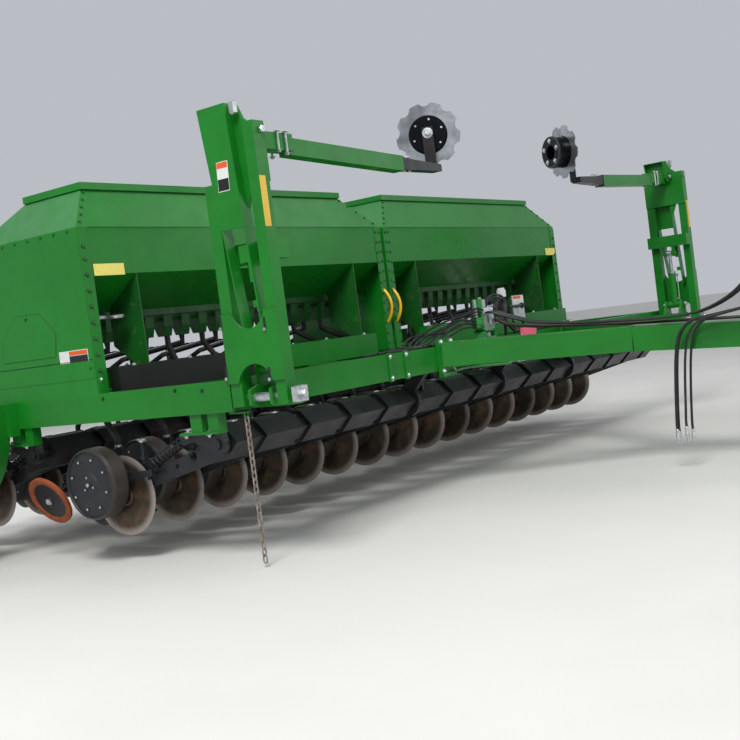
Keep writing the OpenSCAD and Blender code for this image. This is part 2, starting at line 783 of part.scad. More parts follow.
module tyre() {
    color(rubber) translate([-wheel_x, wheel_y, tyre_d / 2]) rotate([0, 90, 0])
        rotate_extrude($fn = 64) polygon([[rim_d / 2 + 4, -tyre_w / 2 + 40],
            [rim_d / 2 + 40, -tyre_w / 2 + 8], [tyre_d / 2 - 90, -tyre_w / 2],
            [tyre_d / 2 - 25, -tyre_w / 2 + 16], [tyre_d / 2, -tyre_w / 2 + 60],
            [tyre_d / 2, tyre_w / 2 - 60], [tyre_d / 2 - 25, tyre_w / 2 - 16],
            [tyre_d / 2 - 90, tyre_w / 2], [rim_d / 2 + 40, tyre_w / 2 - 8],
            [rim_d / 2 + 4, tyre_w / 2 - 40]]);
}

module rim() {
    color(yellow) translate([-wheel_x, wheel_y, tyre_d / 2]) rotate([0, 90, 0])
        rotate_extrude($fn = 64) polygon([[spindle_d / 2 + running, -90], [70, -90], [75, -40],
            [rim_d / 2 - 30, -20], [rim_d / 2 - 24, -tyre_w / 2 + 44],
            [rim_d / 2 + 4, -tyre_w / 2 + 40], [rim_d / 2 + 4, tyre_w / 2 - 40],
            [rim_d / 2 - 24, tyre_w / 2 - 44], [rim_d / 2 - 24, -8], [75, -28], [70, 70],
            [spindle_d / 2 + running, 70]]);
}

// Row markers, drawn on the right

post_in = marker_x - post_w;
foot_x = marker_x - 45;
cylinder_x = tip_pin_x + 5;
cylinder_foot_z = 1010;
rod_eye_z = 1480;
marker_mid_y = (rear_post_y + post_w + front_post_y) / 2;
ear_t = 20;
ear_gap = 120;
cylinder_pin_d = 30;
chain_x = -foot_x;
chain_y = front_beam_y - 48;
chain_lug_w = 40;
chain_lug_t = 8;
chain_lug_gap = 6;
chain_eye_r = 14;
chain_eye_z = beam_z - chain_lug_gap - chain_lug_t - 11;

module marker_base() {
    color(green) {
        block(-post_in + 75, -post_in + 165, marker_mid_y - ear_gap / 2 - ear_t, front_beam_y,
            beam_z, beam_z + 120);
        for (y = [marker_mid_y - ear_gap / 2 - ear_t, marker_mid_y + ear_gap / 2])
            cross_plate(y, ear_t, [[-post_in + 165, beam_z], [-post_in + 165, beam_z + 120],
                [-cylinder_x + 40, cylinder_foot_z + 35], [-cylinder_x - 30, cylinder_foot_z + 35],
                [-cylinder_x - 38, foot_pin_z + 65], [-foot_x - 38, foot_pin_z + 40],
                [-foot_x - 38, foot_pin_z - 38], [-foot_x, beam_z + 10]]);
    }
    color(steel) {
        bar_y(cylinder_pin_d, -cylinder_x, marker_mid_y - ear_gap / 2 - ear_t - 12,
            marker_mid_y + ear_gap / 2 + ear_t + 12, cylinder_foot_z);
        bar_y(foot_pin_d, -foot_x, front_post_y - 30, front_beam_y, foot_pin_z);
        block(-foot_x - 40, -foot_x + 40, front_post_y - 60, front_post_y - 25,
            foot_pin_z - 40, foot_pin_z + 40);
    }
}

module marker_bases() {
    x = [chain_x - chain_lug_w / 2, chain_x + chain_lug_w / 2];
    top = beam_z - chain_lug_gap;
    marker_base();
    color(green) {
        block(x[0], x[1], chain_y - 14, front_beam_y + 50, top - chain_lug_t, top);
        block(x[0], x[1], front_beam_y + 10, front_beam_y + 50, top, beam_z);
    }
    color(steel) translate([chain_x, chain_y, chain_eye_z]) rotate([90, 0, 0]) rotate_extrude($fn = 24)
        translate([chain_eye_r, 0]) circle(d = link_wire, $fn = 16);
    left_side() marker_base();
}

plate_t = 12;
plate_low = 950;
plate_top = 1300;

// Tapered channel between the posts, behind the marker's middle: its rear and its front edge
channel_low = 1190;
channel_face_low = 1712;
channel_rear = [50, 171];
channel_front = [-80, -15];
channel_t = 8;
channel_d = 68;

// Place behind the marker's middle of an edge at height z
function edge_y(edge, z) = edge[0] + (edge[1] - edge[0]) * (z - channel_low) / (channel_top - channel_low);

module channel_flange(edge, inward) {
    y = [for (z = [channel_low, channel_top]) marker_mid_y + edge_y(edge, z)];
    side_plate(-marker_x, channel_d, [[y[0], channel_low], [y[1], channel_top],
        [y[1] + inward * channel_t, channel_top], [y[0] + inward * channel_t, channel_low]]);
}

// Blocks on the front flange, as [back, front, low, high]
channel_blocks = [[20, -54, 1540, 1625], [-30, -58.5, 1440, 1550], [-30, -68, 1316, 1350]];

module channel() {
    y = marker_mid_y;
    low = channel_face_low;
    channel_flange(channel_rear, -1);
    channel_flange(channel_front, 1);
    side_plate(-marker_x, channel_t, [[y + channel_front[1], channel_top], [y + channel_rear[1], channel_top],
        [y + edge_y(channel_rear, low), low], [y + edge_y(channel_front, low), low]]);
    block(-marker_x, -marker_x + channel_d, y + channel_front[1] + 2, y + channel_rear[1] - 2,
        channel_top - channel_t, channel_top);
    for (b = channel_blocks)
        block(-marker_x + 12, -marker_x + channel_d - 6, y + b[1], y + b[0], b[2], b[3]);
    side_plate(-marker_x + channel_d - 20, 20, [[y + channel_front[1] + 4, channel_top - 6],
        [y - 42, channel_top - 2], [y - 76, channel_top - 80], [front_post_y + 40, post_top - 20],
        [front_post_y + 40, post_top - 160], [y + edge_y(channel_front, 1800) + 2, 1800],
        [y + edge_y(channel_front, 1800) + 6, 1800]]);
}

module marker_arm() {
    front_w = post_w - 10;
    color(green) difference() {
        union() {
            block(-marker_x, -post_in, rear_post_y, rear_post_y + post_w, foot_pin_z - 40, rear_post_top);
            block(-marker_x, -post_in, front_post_y, front_post_y + front_w, foot_pin_z - 40, post_top);
            difference() {
                block(-marker_x - plate_t, -marker_x, front_post_y, rear_post_y + post_w,
                    plate_low, plate_top);
                bar_x(230, -marker_x - 50, -marker_x + 1, marker_mid_y, plate_low - 25);
                bar_x(230, -marker_x - 50, -marker_x + 1, marker_mid_y, plate_top + 30);
            }
            channel();
            block(-post_in, -post_in + 10, front_post_y, rear_post_y + post_w, 1916, post_top);
            block(-post_in, -post_in + 80, front_post_y, rear_post_y + post_w, 1540, 1640);
            for (y = [marker_mid_y - eye_w / 2 - 22, marker_mid_y + eye_w / 2 + 6]) {
                cross_plate(y, 16, [[-cylinder_x - 30, 1545], [-cylinder_x + 30, 1545],
                    [-cylinder_x + 22, rod_eye_z - 30], [-cylinder_x - 22, rod_eye_z - 30]]);
                bar_y(eye_pin_d + 14, -cylinder_x, y - (y < marker_mid_y ? 10 : -10),
                    y + 16 + (y < marker_mid_y ? -10 : 10), rod_eye_z);
            }
            for (y = [marker_mid_y - 75, marker_mid_y + 60])
                block(-post_in + 10, -tip_pin_x + 24, y, y + 15, tip_pin_z - 45, post_top);
            bar_y(30, -tip_pin_x, marker_mid_y - 85, marker_mid_y + 85, tip_pin_z);
        }
        bar_y(foot_pin_d + 2 * running, -foot_x, front_post_y - 1, rear_post_y + post_w + 1, foot_pin_z);
    }
}

// The folded second section: root and end of its green part and its end, as [x, low, high] from the hinge
tip_root = [tip_pin_in + 193, -81, 9];
tip_neck_x = 1455;
tip_neck = [-121, -30];
tip_end = [-104, -60];

module marker_tip() {
    y = marker_mid_y;
    root_x = -tip_pin_x + tip_root[0];
    color(green) difference() {
        union() {
            bar_y(56, -tip_pin_x, y - 58, y + 58, tip_pin_z);
            block(-tip_pin_x, root_x + 20, y - 45, y + 45, tip_pin_z - 60, tip_pin_z + 28);
            cross_plate(y - 40, 80, [[root_x, tip_pin_z + tip_root[1]], [root_x, tip_pin_z + tip_root[2]],
                [-tip_neck_x, tip_pin_z + tip_neck[1]], [-tip_neck_x, tip_pin_z + tip_neck[0]]]);
        }
        bar_y(30 + 2 * running, -tip_pin_x, y - 100, y + 100, tip_pin_z);
    }
    color(black) {
        cross_plate(y - 36, 72, [[-tip_neck_x, tip_pin_z + tip_neck[0] + 10],
            [-tip_neck_x, tip_pin_z + tip_neck[1] - 10], [-tip_end_x, tip_pin_z + tip_end[1]],
            [-tip_end_x, tip_pin_z + tip_end[0]]]);
        disc_place() {
            block(-78, -66, -35, 35, -240, 40);
            bar_x(40, -66, 20, 0, 0);
        }
    }
}

disc_z = 2321;
disc_x = 970;
disc_back = 65;

module disc_place() {
    translate([-disc_x, marker_mid_y + disc_back, disc_z]) rotate([0, 0, disc_yaw]) children();
}

module marker_disc() {
    color(steel) disc_place() difference() {
        union() {
            rotate([0, 90, 0]) translate([0, 0, -3]) cylinder(d = disc_d, h = 6, $fn = 72);
            rotate([0, 90, 0]) translate([0, 0, -20]) cylinder(d = 230, h = 20);
            rotate([0, 90, 0]) cylinder(d = 240, h = 110);
        }
        rotate([0, 90, 0]) translate([0, 0, 25]) cylinder(d = 110, h = 100);
        rotate([0, 90, 0]) translate([0, 0, -30]) cylinder(d = 40 + 2 * running, h = 60);
        for (i = [0 : disc_scallops - 1])
            rotate([i * 360 / disc_scallops, 0, 0]) translate([-10, 0, disc_d / 2 + 22])
                rotate([0, 90, 0]) cylinder(d = 90, h = 20);
    }
}

eye_w = 50;
eye_pin_d = 24;

module marker_cylinder() {
    color(green) difference() {
        union() {
            translate([-cylinder_x, marker_mid_y, cylinder_foot_z]) cylinder(d = 62, h = 300);
            bar_y(62, -cylinder_x, marker_mid_y - ear_gap / 2 + 0.3, marker_mid_y + ear_gap / 2 - 0.3,
                cylinder_foot_z);
        }
        bar_y(cylinder_pin_d + 2 * running, -cylinder_x, marker_mid_y - ear_gap, marker_mid_y + ear_gap,
            cylinder_foot_z);
        translate([-cylinder_x, marker_mid_y, cylinder_foot_z + 50]) cylinder(d = 30 + 2 * running, h = 300);
    }
}

module marker_rod() {
    color(steel) {
        translate([-cylinder_x, marker_mid_y, cylinder_foot_z + 60])
            cylinder(d = 30, h = rod_eye_z - cylinder_foot_z - 60);
        bar_y(eye_w, -cylinder_x, marker_mid_y - eye_w / 2, marker_mid_y + eye_w / 2, rod_eye_z);
    }
}

// Lift cylinders: each pushes a crank that stands on its rockshaft, beside an inner long beam

crank_x = long_beam_x - 133;
crank_t = 20;
crank_pin = [-20, 230];
crank_pin_d = 24;
lift_x = crank_x + crank_t + 28;
lift_z = shaft_z + crank_pin[1];
lift_barrel_d = 56;
lift_rod_d = 28;
lift_barrel = [160, 430];
lift_eye_play = 3;

module lift_crank(y) {
    side_plate(crank_x, crank_t, [[y - 50, shaft_z + 60], [y - 50, lift_z + 10],
        [y - 35, lift_z + 30], [y - 5, lift_z + 30], [y + 10, lift_z + 10], [y + 50, shaft_z + 60]]);
    bar_x(crank_pin_d, crank_x, lift_x + 26, y + crank_pin[0], lift_z);
}

module lift_cylinder(y) {
    difference() {
        union() {
            bar_y(lift_barrel_d, lift_x, y + lift_barrel[0], y + lift_barrel[1], lift_z);
            bar_x(54, lift_x - 26, long_beam_x - long_beam_w / 2, y + lift_barrel[1], lift_z);
        }
        bar_y(lift_rod_d + 2 * running, lift_x, y + lift_barrel[0] - 1, y + lift_barrel[1] - 40, lift_z);
    }
}

module lift_cylinders() {
    color(black) {
        for (y = [shaft_front_y, shaft_rear_y]) {
            lift_cylinder(y);
            left_side() lift_cylinder(y);
        }
    }
}

module lift_rods(y) {
    lift_rod(y);
    left_side() lift_rod(y);
}

module lift_rod(y) {
    eye_y = y + crank_pin[0];
    color(steel) difference() {
        union() {
            bar_y(lift_rod_d, lift_x, eye_y + 20, y + lift_barrel[1] - 100, lift_z);
            bar_x(54, lift_x - 22, lift_x + 22, eye_y, lift_z);
        }
        bar_x(crank_pin_d + 2 * lift_eye_play, lift_x - 30, lift_x + 30, eye_y, lift_z);
    }
}

// Hydraulics

module valve_block() {
    color(dark_green) block(-345, -185, front_beam_y, front_beam_y + 90, beam_top, beam_top + 60);
    color(steel) block(-335, -195, front_beam_y - 10, front_beam_y + 80, beam_top + 60, beam_top + 310);
}

// Walkboard behind the boxes

board_z = 1180;
board_in = 50;
board_w = 300;
board_t = 30;
board_y = rear_beam_y - beam_t;
// How far the outer posts stand in from the board's ends
board_post_in = 233;
board_post_x = frame_w / 2 - board_in - board_post_in;

module walkboard() {
    color(black) block(board_in - frame_w / 2, frame_w / 2 - board_in, board_y, board_y + board_w,
        board_z, board_z + board_t);
    color(green)
        for (x = [-board_post_x, -long_beam_x, long_beam_x, board_post_x])
            block(x - 20, x + 20, rear_beam_y + 20, rear_beam_y + 60, beam_top, board_z);
}

// Curved grab handles beside the gap between the boxes
grab_mid_z = 1300;
grab_l = 240;
grab_d = 22;
grab_out = 50;

module grab_handle(x) {
    r = (grab_l * grab_l / 4 + grab_out * grab_out) / (2 * grab_out);
    half = asin(grab_l / 2 / r) + 5;
    difference() {
        translate([x, box_y0 - grab_out + r, grab_mid_z]) rotate([0, 90, 0]) rotate([0, 0, -90 - half])
            rotate_extrude(angle = 2 * half) translate([r, 0]) circle(d = grab_d, $fn = 16);
        block(x - grab_d, x + grab_d, box_y0, box_y0 + 2 * grab_out, grab_mid_z - grab_l, grab_mid_z + grab_l);
    }
}

module grab_handles() {
    color(yellow) {
        grab_handle(-box_gap / 2 - flange_w / 2);
        grab_handle(box_gap / 2 + flange_w / 2);
    }
}

// Chain that hangs from a marker's base, each link turned a quarter from the last
link_wire = 9;
link_l = 54;
link_w = 32;
link_sides = 6;
link_turns = [0, 45, 90, 135, 180, 180, 225, 270, 315, 360];
chain_low = 12;

module chain_link() {
    n = link_sides;
    count = len(link_turns);
    r = (link_w - link_wire) / 2;
    h = (link_l - link_w) / 2;
    polyhedron(points = [for (k = [0 : count - 1], j = [0 : n - 1])
            let (a = link_turns[k], b = j * 360 / n, out = r + link_wire / 2 * cos(b))
            [out * cos(a), link_wire / 2 * sin(b), (k < count / 2 ? h : -h) + out * sin(a)]],
        faces = [for (i = [0 : count - 1], j = [0 : n - 1])
            let (i2 = (i + 1) % count, j2 = (j + 1) % n)
            [i * n + j, i * n + j2, i2 * n + j2, i2 * n + j]]);
}

module chain() {
    play = 0.4;
    pitch = link_l - 2 * link_wire - play;
    top = chain_eye_z - chain_eye_r + link_wire * 1.5 + play;
    count = floor((top - chain_low - link_l) / pitch) + 1;
    color(steel)
        for (i = [0 : count - 1])
            translate([chain_x, chain_y, top - link_l / 2 - i * pitch])
                rotate([0, 0, (i + 1) % 2 * 90]) chain_link();
}

// Hoses

hose_d = 16;

// Rings round each point of a route, square to it
function rings(route, d, n) = [for (i = [0 : len(route) - 1])
    let (a = route[max(i - 1, 0)], b = route[min(i + 1, len(route) - 1)], t = (b - a) / norm(b - a),
        u = cross(t, [1, 0.01, 0]) / norm(cross(t, [1, 0.01, 0])), v = cross(t, u))
    each [for (k = [0 : n - 1]) route[i] + d / 2 * (cos(k * 360 / n) * u + sin(k * 360 / n) * v)]];

module hose(route, d = hose_d, n = 8) {
    count = len(route);
    polyhedron(points = rings(route, d, n), faces = concat(
        [[for (k = [0 : n - 1]) k]],
        [for (i = [0 : count - 2], k = [0 : n - 1])
            [i * n + k, (i + 1) * n + k, (i + 1) * n + (k + 1) % n, i * n + (k + 1) % n]],
        [[for (k = [n - 1 : -1 : 0]) (count - 1) * n + k]]));
}

// Each hose: place across the tongue, height of its coupler, place of its hanging end along the tongue
hose_places = [[-190, 130, 60], [-224, 150, 60], [-156, 140, -15], [-258, 170, -15]];

function hose_route(i) = let (x = hose_places[i][0], low = hose_places[i][1], y = hose_places[i][2],
    out = x - 60) [
    [out, front_beam_y - 10.3, 1150], [out, -350, 1149], [x - 40, -440, 1110], [x - 20, -620, 1050],
    [x, -800, 1020], [x + 10, -1000, 1000], [x + 20, -1250, 985], [x + 40, -1500, 975],
    [x + 60, -1750, 985], [x + 80, -1950, 1060], [x + 80, -2100, 1180], [x + 65, holder_y + 64, holder_z - 2],
    [x + 40, holder_y, holder_z + 22], [x + 15, holder_y - 64, holder_z - 2], [x - 10, -2380, 1230],
    [x - 25, -2370, 1160], [x - 35, -2320, 1085], [x - 45, -2230, 1030], [x - 50, -2100, 990],
    [x - 55, -1950 + y / 2, 965], [out, -1830 + y, 945], [out, -1760 + y, 915], [out, -1715 + y, 860],
    [out, -1690 + y, 790], [out, -1672 + y, 700], [out, -1655 + y, 560], [out, -1640 + y, 400],
    [out, -1632 + y, low + 150], [out, -1632 + y, low + 110]];

module hose_couplers() {
    color(steel)
        for (i = [0 : 3])
            translate(hose_route(i)[len(hose_route(i)) - 1] - [0, 0, 90]) cylinder(d = 26, h = 89.7);
}

front_beam();
rear_beams();
long_beams();
shaft_hangers();
shaft_bearings();
box_sills();
hopper(right_box_x);  // hopper_right
hopper(left_box_x);  // hopper_left
box_roofs();
box_ends();
box_dividers();
feed_cups();
seed_tubes_front();
seed_tubes_rear();
tongue();
hitch();
jack_tube();
jack_leg();
wheel_arms();
tyre();  // tyre_right
rim();  // rim_right
left_side() tyre();  // tyre_left
left_side() rim();  // rim_left
marker_bases();
marker_arm();  // marker_arm_right
left_side() marker_arm();  // marker_arm_left
marker_tip();  // marker_tip_right
left_side() marker_tip();  // marker_tip_left
marker_disc();  // marker_disc_right
left_side() marker_disc();  // marker_disc_left
marker_cylinder();  // marker_cylinder_right
left_side() marker_cylinder();  // marker_cylinder_left
marker_rod();  // marker_rod_right
left_side() marker_rod();  // marker_rod_left
lid(right_box_x);  // lid_right
lid(left_box_x);  // lid_left
rockshaft(shaft_front_y, front_xs, front_collars);  // rockshaft_front
color(black) at_rows(front_rank_y, front_xs) opener_arm();  // opener_arms_front
color(black) at_rows(front_rank_y, front_xs) opener_spring();  // springs_front
color(steel) at_rows(front_rank_y, front_xs) opener_blade();  // blades_front
color(rubber) at_rows(front_rank_y, front_xs) gauge_wheel();  // gauge_wheels_front
color(rust) at_rows(front_rank_y, front_xs) closing_wheels_of_row();  // closing_wheels_front
rockshaft(shaft_rear_y, rear_xs, rear_collars);  // rockshaft_rear
color(black) at_rows(rear_rank_y, rear_xs) opener_arm();  // opener_arms_rear
color(black) at_rows(rear_rank_y, rear_xs) opener_spring();  // springs_rear
color(steel) at_rows(rear_rank_y, rear_xs) opener_blade();  // blades_rear
color(rubber) at_rows(rear_rank_y, rear_xs) gauge_wheel();  // gauge_wheels_rear
color(rust) at_rows(rear_rank_y, rear_xs) closing_wheels_of_row();  // closing_wheels_rear
lift_cylinders();
lift_rods(shaft_front_y);  // lift_rod_front
lift_rods(shaft_rear_y);  // lift_rod_rear
valve_block();
walkboard();
grab_handles();
chain();
color(rubber) hose(hose_route(0));  // hose_1
color(rubber) hose(hose_route(1));  // hose_2
color(rubber) hose(hose_route(2));  // hose_3
color(rubber) hose(hose_route(3));  // hose_4
hose_couplers();
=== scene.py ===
import bpy
import bmesh
import math
import numpy as np
from mathutils import Matrix, Vector


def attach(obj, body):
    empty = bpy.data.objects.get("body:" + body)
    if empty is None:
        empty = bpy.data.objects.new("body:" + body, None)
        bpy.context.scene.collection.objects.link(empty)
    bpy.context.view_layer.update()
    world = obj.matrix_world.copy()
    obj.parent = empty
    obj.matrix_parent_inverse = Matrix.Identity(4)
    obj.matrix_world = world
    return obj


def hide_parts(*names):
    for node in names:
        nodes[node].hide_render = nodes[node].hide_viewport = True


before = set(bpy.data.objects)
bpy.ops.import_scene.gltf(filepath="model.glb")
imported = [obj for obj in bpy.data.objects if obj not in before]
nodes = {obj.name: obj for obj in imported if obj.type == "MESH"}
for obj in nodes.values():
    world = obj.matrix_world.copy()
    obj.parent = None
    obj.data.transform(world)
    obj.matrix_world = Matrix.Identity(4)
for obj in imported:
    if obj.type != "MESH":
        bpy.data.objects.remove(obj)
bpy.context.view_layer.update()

print("frame loaded:", len(nodes), "nodes")


# Meshes from arrays

def gridFaces(rows, cols, closeRows=False, closeCols=False):
    # quads of a rows x cols grid of points, wrapped round where a direction is closed
    r = np.arange(rows if closeRows else rows - 1)
    c = np.arange(cols if closeCols else cols - 1)
    r, c = np.meshgrid(r, c, indexing="ij")
    r2, c2 = (r + 1) % rows, (c + 1) % cols
    quads = np.stack([r * cols + c, r * cols + c2, r2 * cols + c2, r2 * cols + c], -1)
    return quads.reshape(-1, 4)


def stamp(shape, places):
    # point p of copy n is turn(n) p + shift(n), one copy for each 4x4 place
    points, faces = shape
    places = np.asarray(places, float)
    out = np.einsum("nij,pj->npi", places[:, :3, :3], points) + places[:, None, :3, 3]
    shift = (np.arange(len(places)) * len(points))[:, None, None]
    return out.reshape(-1, 3), (faces[None] + shift).reshape(-1, faces.shape[1])


def joined(*shapes):
    # several shapes as one
    starts = np.cumsum([0] + [len(p) for p, f in shapes])
    return np.concatenate([p for p, f in shapes]), np.concatenate([f + s for (p, f), s in zip(shapes, starts)])


def revolve(profile, count):
    # profile rows are (radius, height); a point at turn t is (r cos t, r sin t, h); ends at r = 0 close
    profile = np.asarray(profile, float)
    turn = np.linspace(0, 2 * math.pi, count, endpoint=False)[None, :]
    r, h = profile[:, :1], profile[:, 1:]
    points = np.stack([r * np.cos(turn), r * np.sin(turn), h + 0 * turn], -1).reshape(-1, 3)
    return points, gridFaces(len(profile), count, closeCols=True)


def smoothPath(points, steps):
    # Catmull-Rom curve through the points: each span is a cubic in t set by its two neighbours
    p = np.asarray(points, float)
    p = np.concatenate([[2 * p[0] - p[1]], p, [2 * p[-1] - p[-2]]])
    t = np.linspace(0, 1, steps, endpoint=False)[None, :, None]
    a, b, c, d = (p[i:len(p) - 3 + i, None, :] for i in range(4))
    line = 0.5 * (2 * b + (c - a) * t + (2 * a - 5 * b + 4 * c - d) * t ** 2
        + (3 * b - a - 3 * c + d) * t ** 3)
    return np.concatenate([line.reshape(-1, 3), p[-2:-1]])


def tube(path, radius, sides):
    # ring k at station s is path(s) + radius (cos k u + sin k v), with u, v square to the path
    path = np.asarray(path, float)
    along = np.gradient(path, axis=0)
    along /= np.linalg.norm(along, axis=1)[:, None]
    side = np.cross(along, [1.0, 0.013, 0.007])
    side /= np.linalg.norm(side, axis=1)[:, None]
    up = np.cross(along, side)
    turn = np.linspace(0, 2 * math.pi, sides, endpoint=False)[None, :, None]
    ring = path[:, None] + radius * (np.cos(turn) * side[:, None] + np.sin(turn) * up[:, None])
    ring = np.concatenate([np.repeat(path[:1, None], sides, 1), ring, np.repeat(path[-1:, None], sides, 1)])
    return ring.reshape(-1, 3), gridFaces(len(ring), sides, closeCols=True)


# the model axes of an outline's two directions and its thickness
planes = {"X": (1, 2, 0), "Y": (0, 2, 1), "Z": (0, 1, 2)}


def plate(outline, low, high, plane="Z", edge=0.0015):
    # rings from the middle out and back: outline shrunk by the edge at low, full, full, shrunk at high
    outline = np.asarray(outline, float)
    middle = outline.mean(0)
    size = np.abs(outline - middle).max()
    small = middle + (outline - middle) * (1 - edge / size)
    count = len(outline)
    rings = [np.repeat(middle[None], count, 0), small, outline, outline, small, np.repeat(middle[None], count, 0)]
    depths = [low, low, low + edge, high - edge, high, high]
    flat = np.concatenate([np.column_stack([ring, np.full(count, depth)]) for ring, depth in zip(rings, depths)])
    points = np.empty_like(flat)
    points[:, planes[plane]] = flat
    return points, gridFaces(6, count, closeCols=True)


def block(x, y, z, edge=0.003):
    # a box between two values on each axis, its edges broken
    return plate([(x[0], y[0]), (x[1], y[0]), (x[1], y[1]), (x[0], y[1])], z[0], z[1], "Z", edge)


def place(at, turn=(0, 0, 0)):
    # 4x4 matrix of a turn in degrees about X, Y and Z and then a shift
    return np.array(Matrix.Translation(at) @ Matrix.Rotation(math.radians(turn[2]), 4, "Z")
        @ Matrix.Rotation(math.radians(turn[1]), 4, "Y") @ Matrix.Rotation(math.radians(turn[0]), 4, "X"))


def makePiece(name, shape, material, body, smooth=35):
    # a piece of the object: doubles merged, faces turned outwards
    points, faces = shape
    mesh = bpy.data.meshes.new(name)
    mesh.vertices.add(len(points))
    mesh.vertices.foreach_set("co", np.asarray(points, np.float32).ravel())
    corners = faces.shape[1]
    mesh.loops.add(faces.size)
    mesh.loops.foreach_set("vertex_index", faces.ravel().astype(np.int32))
    mesh.polygons.add(len(faces))
    mesh.polygons.foreach_set("loop_start", np.arange(0, faces.size, corners, dtype=np.int32))
    mesh.update(calc_edges=True)
    mesh.validate()
    work = bmesh.new()
    work.from_mesh(mesh)
    bmesh.ops.remove_doubles(work, verts=work.verts, dist=1e-6)
    bmesh.ops.dissolve_degenerate(work, edges=work.edges, dist=1e-7)
    bmesh.ops.recalc_face_normals(work, faces=work.faces)
    work.to_mesh(mesh)
    work.free()
    piece = bpy.data.objects.new(name, mesh)
    bpy.context.collection.objects.link(piece)
    mesh.materials.append(material)
    mesh.polygons.foreach_set("use_smooth", np.ones(len(mesh.polygons), bool))
    mesh.set_sharp_from_angle(angle=math.radians(smooth))
    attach(piece, body)
    return piece


# Camera, found by fitting the corners in the photograph

cameraSet = {
    "place": (-7.0057, -4.1626, 1.1329),
    "right": (0.58306, -0.80245, -0.12695), "up": (0.10401, -0.08125, 0.99125), "back": (-0.80574, -0.59117, 0.03609),
    # focal length and picture width in pixels, sensor in millimetres
    "focal": 1100, "width": 740, "sensor": 36, "clipEnd": 200,
}
camera = bpy.data.objects.new("camera", bpy.data.cameras.new("camera"))
camera.data.lens = cameraSet["focal"] / cameraSet["width"] * cameraSet["sensor"]
camera.data.sensor_width = cameraSet["sensor"]
camera.data.clip_end = cameraSet["clipEnd"]
axes = Matrix([cameraSet["right"], cameraSet["up"], cameraSet["back"]])
camera.matrix_world = Matrix.Translation(cameraSet["place"]) @ axes.transposed().to_4x4()
bpy.context.collection.objects.link(camera)
bpy.context.scene.camera = camera
print("camera placed")


# Materials

def linear(hexText):
    # sRGB hex to linear light
    v = np.array([int(hexText[i:i + 2], 16) for i in (1, 3, 5)]) / 255
    v = np.where(v <= 0.04045, v / 12.92, ((v + 0.055) / 1.055) ** 2.4)
    return (*v, 1.0)


def add(tree, kind, links=None, **settings):
    # one shader node with its settings, and values or other nodes' outputs for its inputs
    node = tree.nodes.new(kind)
    for key, value in settings.items():
        setattr(node, key, value)
    for name, value in (links or {}).items():
        socket = node.inputs[name]
        if isinstance(value, bpy.types.NodeSocket):
            tree.links.new(value, socket)
        else:
            socket.default_value = value
    return node


def patches(tree, where, sizeMm, low, high, stretch=(1, 1, 1), detail=5.0):
    # blotches about sizeMm across: 0 where the noise is under low, 1 over high
    scaled = add(tree, "ShaderNodeMapping", {"Vector": where, "Scale": stretch}).outputs["Vector"]
    cloud = add(tree, "ShaderNodeTexNoise", {"Vector": scaled, "Scale": 1000 / sizeMm, "Detail": detail,
        "Roughness": 0.6}).outputs["Fac"]
    return add(tree, "ShaderNodeMapRange", {"Value": cloud, "From Min": low, "From Max": high},
        interpolation_type="SMOOTHSTEP").outputs["Result"]


def roundAxle(tree, where, axle, start, end):
    # 0 inside radius start and 1 outside radius end, round a line along X through axle = (y, z)
    flat = add(tree, "ShaderNodeMapping", {"Vector": where, "Location": (0, -axle[0], -axle[1]),
        "Scale": (0, 1, 1)}).outputs["Vector"]
    radius = add(tree, "ShaderNodeVectorMath", {0: flat}, operation="LENGTH").outputs["Value"]
    return add(tree, "ShaderNodeMapRange", {"Value": radius, "From Min": start, "From Max": end},
        interpolation_type="SMOOTHSTEP").outputs["Result"]


